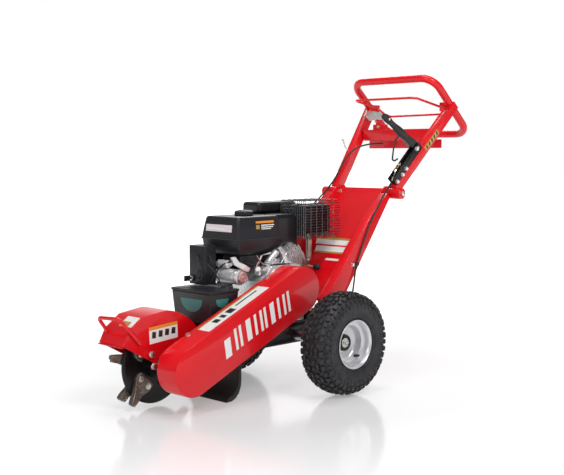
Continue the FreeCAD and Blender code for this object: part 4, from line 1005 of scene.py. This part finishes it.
def frame_parts():
    """The frame, brake and belt parts as the CAD has them, with eased edges where they show."""
    for node, material, bevel in (
            ("chassis_rails", BLACK, 2.5), ("deck_plate", BLACK, 1.0), ("cutter_fork", BLACK, 1.5),
            ("cutter_bearings", CAST, 2.0), ("left_lower_upright", RED, 1.6),
            ("right_lower_upright", RED, 1.6), ("rear_panel", RED, 1.0),
            ("left_upper_upright", RED, 1.8), ("right_upper_upright", RED, 1.8),
            ("control_crossbar", RED, 1.0), ("frame_bolts", ZINC, 0.5), ("axle", STEEL, 0.6),
            ("brake_bracket", BLACK, 0.8), ("brake_caliper", ZINC, 1.0), ("brake_arm", ZINC, 0.8),
            ("idler_arm", ZINC, 0.8), ("cutter_shaft", STEEL, 0.8)):
        soften(node, material, bevel)
    for node, material in (("wheel_bearings", STEEL), ("driven_pulley", STEEL),
                           ("clutch_drum", STEEL), ("idler_pulley", STEEL), ("brake_disc", STEEL),
                           ("v_belts", SOFT_RUBBER)):
        dress(node, material)


def panel_stickers():
    """Cream and gold stripes on the front of the panel between the lower uprights."""
    down = Vector((366, 0, -416)).normalized()
    top = Vector((-466, 0, 732))
    slope = 8

    def on_panel(along, y):
        return top + down * along + Vector((0, y, 0))

    for name, low, high, left, right, material in (
            ("cream_a", 272, 296, -98, 84, WHITE), ("gold_a", 262, 272, -100, 86, GOLD),
            ("cream_b", 304, 330, -80, 104, WHITE), ("gold_b", 330, 338, -80, 104, GOLD)):
        label(f"panel_stripe_{name}", [on_panel(high, left + slope), on_panel(high, right),
                                       on_panel(low, right - slope), on_panel(low, left)], material)
    label("panel_stripe_thin", [on_panel(372, 4), on_panel(372, 92), on_panel(362, 88),
                                on_panel(362, 8)], WHITE)


# ---- Handle, brake and cables ---------------------------------------------------------------

UPRIGHT_ALONG = (UPRIGHT_HIGH - UPRIGHT_LOW).normalized()
UPRIGHT_ACROSS = (Vector(ALONG_Y) - UPRIGHT_ALONG * UPRIGHT_ALONG.y).normalized()
UPRIGHT_OUT = UPRIGHT_ACROSS.cross(UPRIGHT_ALONG)
UPRIGHT_SIDE = 17.6


def on_upright(x, y, z):
    """A place by the left upright: out from its front face's middle line, across it, along it."""
    return UPRIGHT_LOW + UPRIGHT_OUT * x + UPRIGHT_ACROSS * y + UPRIGHT_ALONG * z


def on_upright_side(x, z):
    return on_upright(x, UPRIGHT_SIDE, z)


def handle():
    """The handle's ring, the bail with its lower rod and nuts, and the upright's sticker."""
    bent_rod("handle_ring_tube", [(-638, 213, 1176), (-893, 213, 955), (-893, -213, 955),
                                  (-638, -213, 1176)], 16, RED, "handle", ("handle_ring",), bend=62,
             closed=True, steps=14)
    bent_rod("bail_rod", [(-758, 190, 1066), (-758, 160, 1066), (-604, 160, 1094),
                          (-588, 144, 1096), (-588, -144, 1096), (-604, -160, 1094),
                          (-758, -160, 1066), (-758, -190, 1066)], 5, RED, "bail", ("bail",))
    sticker("upright_label", on_upright_side, (-10, 12), (318, 218), GOLD, "handle", 0.4)
    for k in range(5):
        z = 225 + 19 * k
        label(f"upright_label_bar_{k}", [on_upright_side(*spot) for spot in (
            (-7, z + 8), (9, z + 12), (9, z + 4), (-7, z))], INK, "handle", 0.6)
    hook = [(-585, -190, 888), (-578, -201, 896), (-572, -203, 916), (-568, -203, 928),
            (-562, -203, 930)]
    bent_rod("cable_hook", hook, 2.8, ZINC, "handle", bend=6)
    bent_rod("bail_lower_rod", [(-758, 176, 1034), (-758, -96, 1031), (-752, -122, 1040),
                                (-746, -150, 1062)], 4.5, RED, "bail", bend=14)
    nuts = Shape()
    for sign in (-1, 1):
        nuts.hexagon((-758, sign * 206.3, 1066), (0, sign, 0), 14, 6)
    nuts.make("bail_pivot_nuts", ZINC, "bail", bevel=0.5)


def throttle_mount():
    """The bail's stop plate, and the bracket and bolts that hold the throttle cable."""
    outline = [(-812, 1022), (-700, 1014), (-668, 1034), (-700, 1058), (-800, 1050)]
    stop = Shape().slab(outline, -171.5, -168.5)
    stop.make("bail_stop_plate", ZINC, "handle", bevel=0.8)
    bracket = Shape().box((-716, -690), (-140, -78), (973.2, 996))
    bracket.box((-712, -694), (-128, -120), (973.2, 1018))
    bracket.make("throttle_bracket", RED, "handle", bevel=2.0)
    bolts = Shape().hexagon((-690, -108, 986), ALONG_X, 13, 5)
    bolts.hexagon((-694, -124, 1008), ALONG_X, 9, 6)
    bolts.make("throttle_bracket_bolts", BRASS, "handle", bevel=0.5)


def brake_lever():
    """The hand lever on its pin, with its moulded grip, its latch loop and the bracket's bolts."""
    pivot = on_upright(36, 0, 196)
    droop = math.radians(10)
    out = UPRIGHT_OUT * math.cos(droop) - UPRIGHT_ALONG * math.sin(droop)
    up = UPRIGHT_ALONG * math.cos(droop) + UPRIGHT_OUT * math.sin(droop)

    def lever(x, y, z):
        """A place on the lever: along it from its pin, across it, and above it."""
        return pivot + out * x + UPRIGHT_ACROSS * y + up * z

    body = Shape()
    body.loft([[lever(x, -w, low), lever(x, w, low), lever(x, w, high), lever(x, -w, high)]
               for x, low, high, w in ((-12, -11, 11, 8), (10, -15, 16, 9), (34, -17, 18, 9.5),
                                       (58, -15, 16, 9.5), (88, -11, 12, 9))])
    body.make("brake_lever_body", BLACK, "brake_lever", ("brake_lever",), bevel=2.4)
    grip = Shape().lathe([(-6, 10), (0, 14.5), (26, 17), (52, 16), (80, 12.5), (104, 11.6),
                          (114, 13.6), (130, 15), (148, 14), (156, 9)], lever(78, 0, 0), out, 60,
                         flutes=5, depth=0.8)
    grip.make("brake_lever_grip", SOFT_RUBBER, "brake_lever", sharp=50)
    eye = Shape().bar(lever(210, -15.4, 0), lever(210, 15.4, 0), 5, 20)
    eye.make("brake_lever_eye", ZINC, "brake_lever", sharp=40)
    pin = Shape().bar(lever(0, -15.5, 0), lever(0, 15.5, 0), 4.9, 24)
    pin.make("brake_lever_pin", ZINC, "brake_lever", sharp=40)
    slot = Shape().plate(lambda x, z, y: lever(x, y, z),
                         [(22, -3), (52, -3), (55, 1), (52, 5), (22, 5), (19, 1)], 6.05, 6.4)
    slot.make("brake_lever_slot", ZINC, "brake_lever")
    latch = [lever(84, -6, 0)] + [lever(x, -24, z) for x, z in (
        (90, -8), (94, -28), (80, -64), (60, -100), (46, -96), (36, -80))]
    bent_rod("brake_latch_loop", latch, 3.2, SOFT_RUBBER, "brake_lever", bend=9)
    bolts = Shape()
    for x, z in ((40, 186), (26, 92), (24, 62), (26, 24)):
        start = on_upright(x, 15, z)
        bolts.lathe([(0, 8.5), (1.6, 8.5)], start, UPRIGHT_ACROSS, 24)
        bolts.hexagon(start + UPRIGHT_ACROSS * 1.6, UPRIGHT_ACROSS, 13, 6)
    bolts.make("brake_bracket_bolts", ZINC, "handle", bevel=0.5)


def brake_linkage():
    """The clevis, the pull wire and the ferrule where the brake's cable starts."""
    clevis = Shape()
    for y in (-4, 4):
        clevis.plate(lambda x, z, y: on_upright(x, y, z), [(46, 62), (58, 62), (58, 94), (46, 94)],
                     y - 1, y + 1)
    clevis.bar(on_upright(52, -7, 86), on_upright(52, 7, 86), 3, 16)
    clevis.bar(on_upright(52, 0, 64), on_upright(52, 0, 50), 4.4, 6)
    clevis.make("brake_clevis", BRASS, "handle", bevel=0.5)
    wire = Shape().bar(on_upright(52, 0, 56), on_upright(38, 0, 24), 1.6, 10)
    wire.make("brake_pull_wire", STEEL, "handle", sharp=60)
    steps = [on_upright(42, 0, 32), on_upright(38.5, 0, 23), on_upright(37, 0, 20),
             on_upright(36, 0.4, 15)]
    ferrule = Shape().bar(steps[0], steps[1], 6.0, 6).bar(steps[1], steps[2], 4.4, 16)
    ferrule.bar(steps[2], steps[3], 3.6, 20)
    ferrule.make("brake_cable_ferrule", BRASS, "handle", bevel=0.5)


FOLD_START, FOLD_END = (-425, 0, 672), (-480, 0, 752)
CABLE_RADIUS = 3.5


def cables():
    """The two control cables, and the brake's clip with its bolt."""
    for name, route in (
            ("brake_cable", [
                (-450, 154, 755), (-411, 158, 727), (-353, 167.3, 667), (-302, 168, 603),
                (-260, 168, 527), (-219, 168, 445), (-203, 171, 375), (-176, 184, 322),
                (-140, 197, 290), (-116, 202, 275.8)]),
            ("throttle_cable", [
                (-704, -96, 915), (-662, -106, 914), (-621, -120, 909), (-584, -138, 898),
                (-552, -152, 874), (-524, -161, 838), (-497, -164, 800), (-471, -165, 765),
                (-430, -167.5, 726), (-385, -170, 691), (-330, -175, 650), (-280, -178, 606),
                (-238, -178, 560), (-200, -177, 516), (-160, -176, 478), (-119, -175, 452)])):
        curve_piece(f"{name}_sheath", route, CABLE_RADIUS, SOFT_RUBBER,
                    ("chassis", "handle", FOLD_START, FOLD_END), (name,), kind="NURBS")
    clip = Shape().box((-232, -208), (163.2, 174), (442, 454))
    clip.make("brake_cable_clip", BLACK, bevel=2)
    bolt = Shape().lathe([(0, 8), (1.5, 8)], (-203, 163.2, 447), ALONG_Y, 24)
    bolt.hexagon((-203, 164.7, 447), ALONG_Y, 12, 6)
    bolt.make("brake_cable_clip_bolt", ZINC, bevel=0.5)


# ---- Studio ---------------------------------------------------------------------------------

def studio_floor():
    """A pale glossy floor that glows more with distance, so that it meets the white surround."""
    reach = 40
    mesh = bpy.data.meshes.new("studio_floor")
    mesh.from_pydata([(-reach, -reach, 0), (reach, -reach, 0), (reach, reach, 0),
                      (-reach, reach, 0)], [], [(0, 1, 2, 3)])
    floor = bpy.data.objects.new("studio_floor", mesh)
    bpy.context.scene.collection.objects.link(floor)
    floor.location.z = -0.0005
    material = surface("pale_gloss_floor", (0.55, 0.55, 0.56), 0.14, shift=0.01, patch=2,
                       rough_shift=0.03, grain=30, bump=0.004)
    tree = material.node_tree
    shader = tree.nodes["Principled BSDF"]
    shader.inputs["Emission Color"].default_value = (1, 1, 1, 1)
    where, length = add_node(tree, "TexCoord"), add_node(tree, "VectorMath")
    length.operation = "LENGTH"
    ramp = add_node(tree, "MapRange", {"From Min": 0.7, "From Max": 4.0, "To Min": 0.31,
                                       "To Max": 1.05})
    tree.links.new(where.outputs["Object"], length.inputs[0])
    tree.links.new(length.outputs["Value"], ramp.inputs["Value"])
    tree.links.new(ramp.outputs["Result"], shader.inputs["Emission Strength"])
    mesh.materials.append(material)


def surround():
    """A surround that looks white all round but lights the object mostly from behind."""
    world = bpy.data.worlds.new("studio")
    world.use_nodes = True
    tree = world.node_tree
    link = tree.links.new
    seen, lit = tree.nodes["Background"], add_node(tree, "Background")
    for background in (seen, lit):
        background.inputs["Color"].default_value = (1, 1, 1, 1)
    place, away = add_node(tree, "TexCoord"), add_node(tree, "VectorMath")
    away.operation = "DOT_PRODUCT"
    away.inputs[1].default_value = (-0.71, -0.70, 0.02)
    glow = add_node(tree, "MapRange", {"From Min": 0.80, "From Max": 0.95, "To Min": 0.22,
                                       "To Max": 1.0})
    link(place.outputs["Generated"], away.inputs[0])
    link(away.outputs["Value"], glow.inputs["Value"])
    link(glow.outputs["Result"], lit.inputs["Strength"])
    path, mix = add_node(tree, "LightPath"), add_node(tree, "MixShader")
    link(path.outputs["Is Camera Ray"], mix.inputs["Fac"])
    link(lit.outputs["Background"], mix.inputs[1])
    link(seen.outputs["Background"], mix.inputs[2])
    link(mix.outputs["Shader"], tree.nodes["World Output"].inputs["Surface"])
    bpy.context.scene.world = world


def lights():
    """Four large soft lights, placed in metres and turned to the engine."""
    target = at(-60, 0, 450)
    for name, place, size, power in (
            ("key", (0.8, 3.0, 3.4), 1.4, 78), ("front", (3.9, 1.0, 2.6), 1.2, 40),
            ("back", (-2.6, -2.4, 3.2), 1.8, 50), ("top", (0.2, 0.2, 4.2), 1.8, 50)):
        data = bpy.data.lights.new(name, "AREA")
        data.energy = power
        data.size = size
        light = bpy.data.objects.new(name, data)
        light.location = place
        light.rotation_euler = (target - Vector(place)).to_track_quat("-Z", "Y").to_euler()
        bpy.context.scene.collection.objects.link(light)
    bpy.context.scene.view_settings.view_transform = "Standard"


def camera():
    """The camera, to the front left of the machine and looking down on it a little."""
    look_down, heading = 4.516, 134.31
    data = bpy.data.cameras.new("camera")
    data.sensor_width = 36
    data.lens = 66.47
    viewer = bpy.data.objects.new("camera", data)
    viewer.location = at(2819.9, 2737.9, 864.1)
    viewer.rotation_euler = (math.radians(90 - look_down), 0, math.radians(heading))
    bpy.context.scene.collection.objects.link(viewer)
    bpy.context.scene.camera = viewer


camera()
for side in ("left", "right"):
    tyre(side)
    wheel(side)
for build in (cutter_guard, cutter, belt_cover, guard_bolts, cover_stickers, guard_stickers,
              debris_flap, fuel_tank, exhaust, air_cleaner, castings, starter, tank_supports,
              barrel, crankcase_details, governor, drain_cock, wires, controls, frame_parts,
              panel_stickers, handle, throttle_mount, brake_lever, brake_linkage, cables,
              studio_floor, surround, lights):
    build()
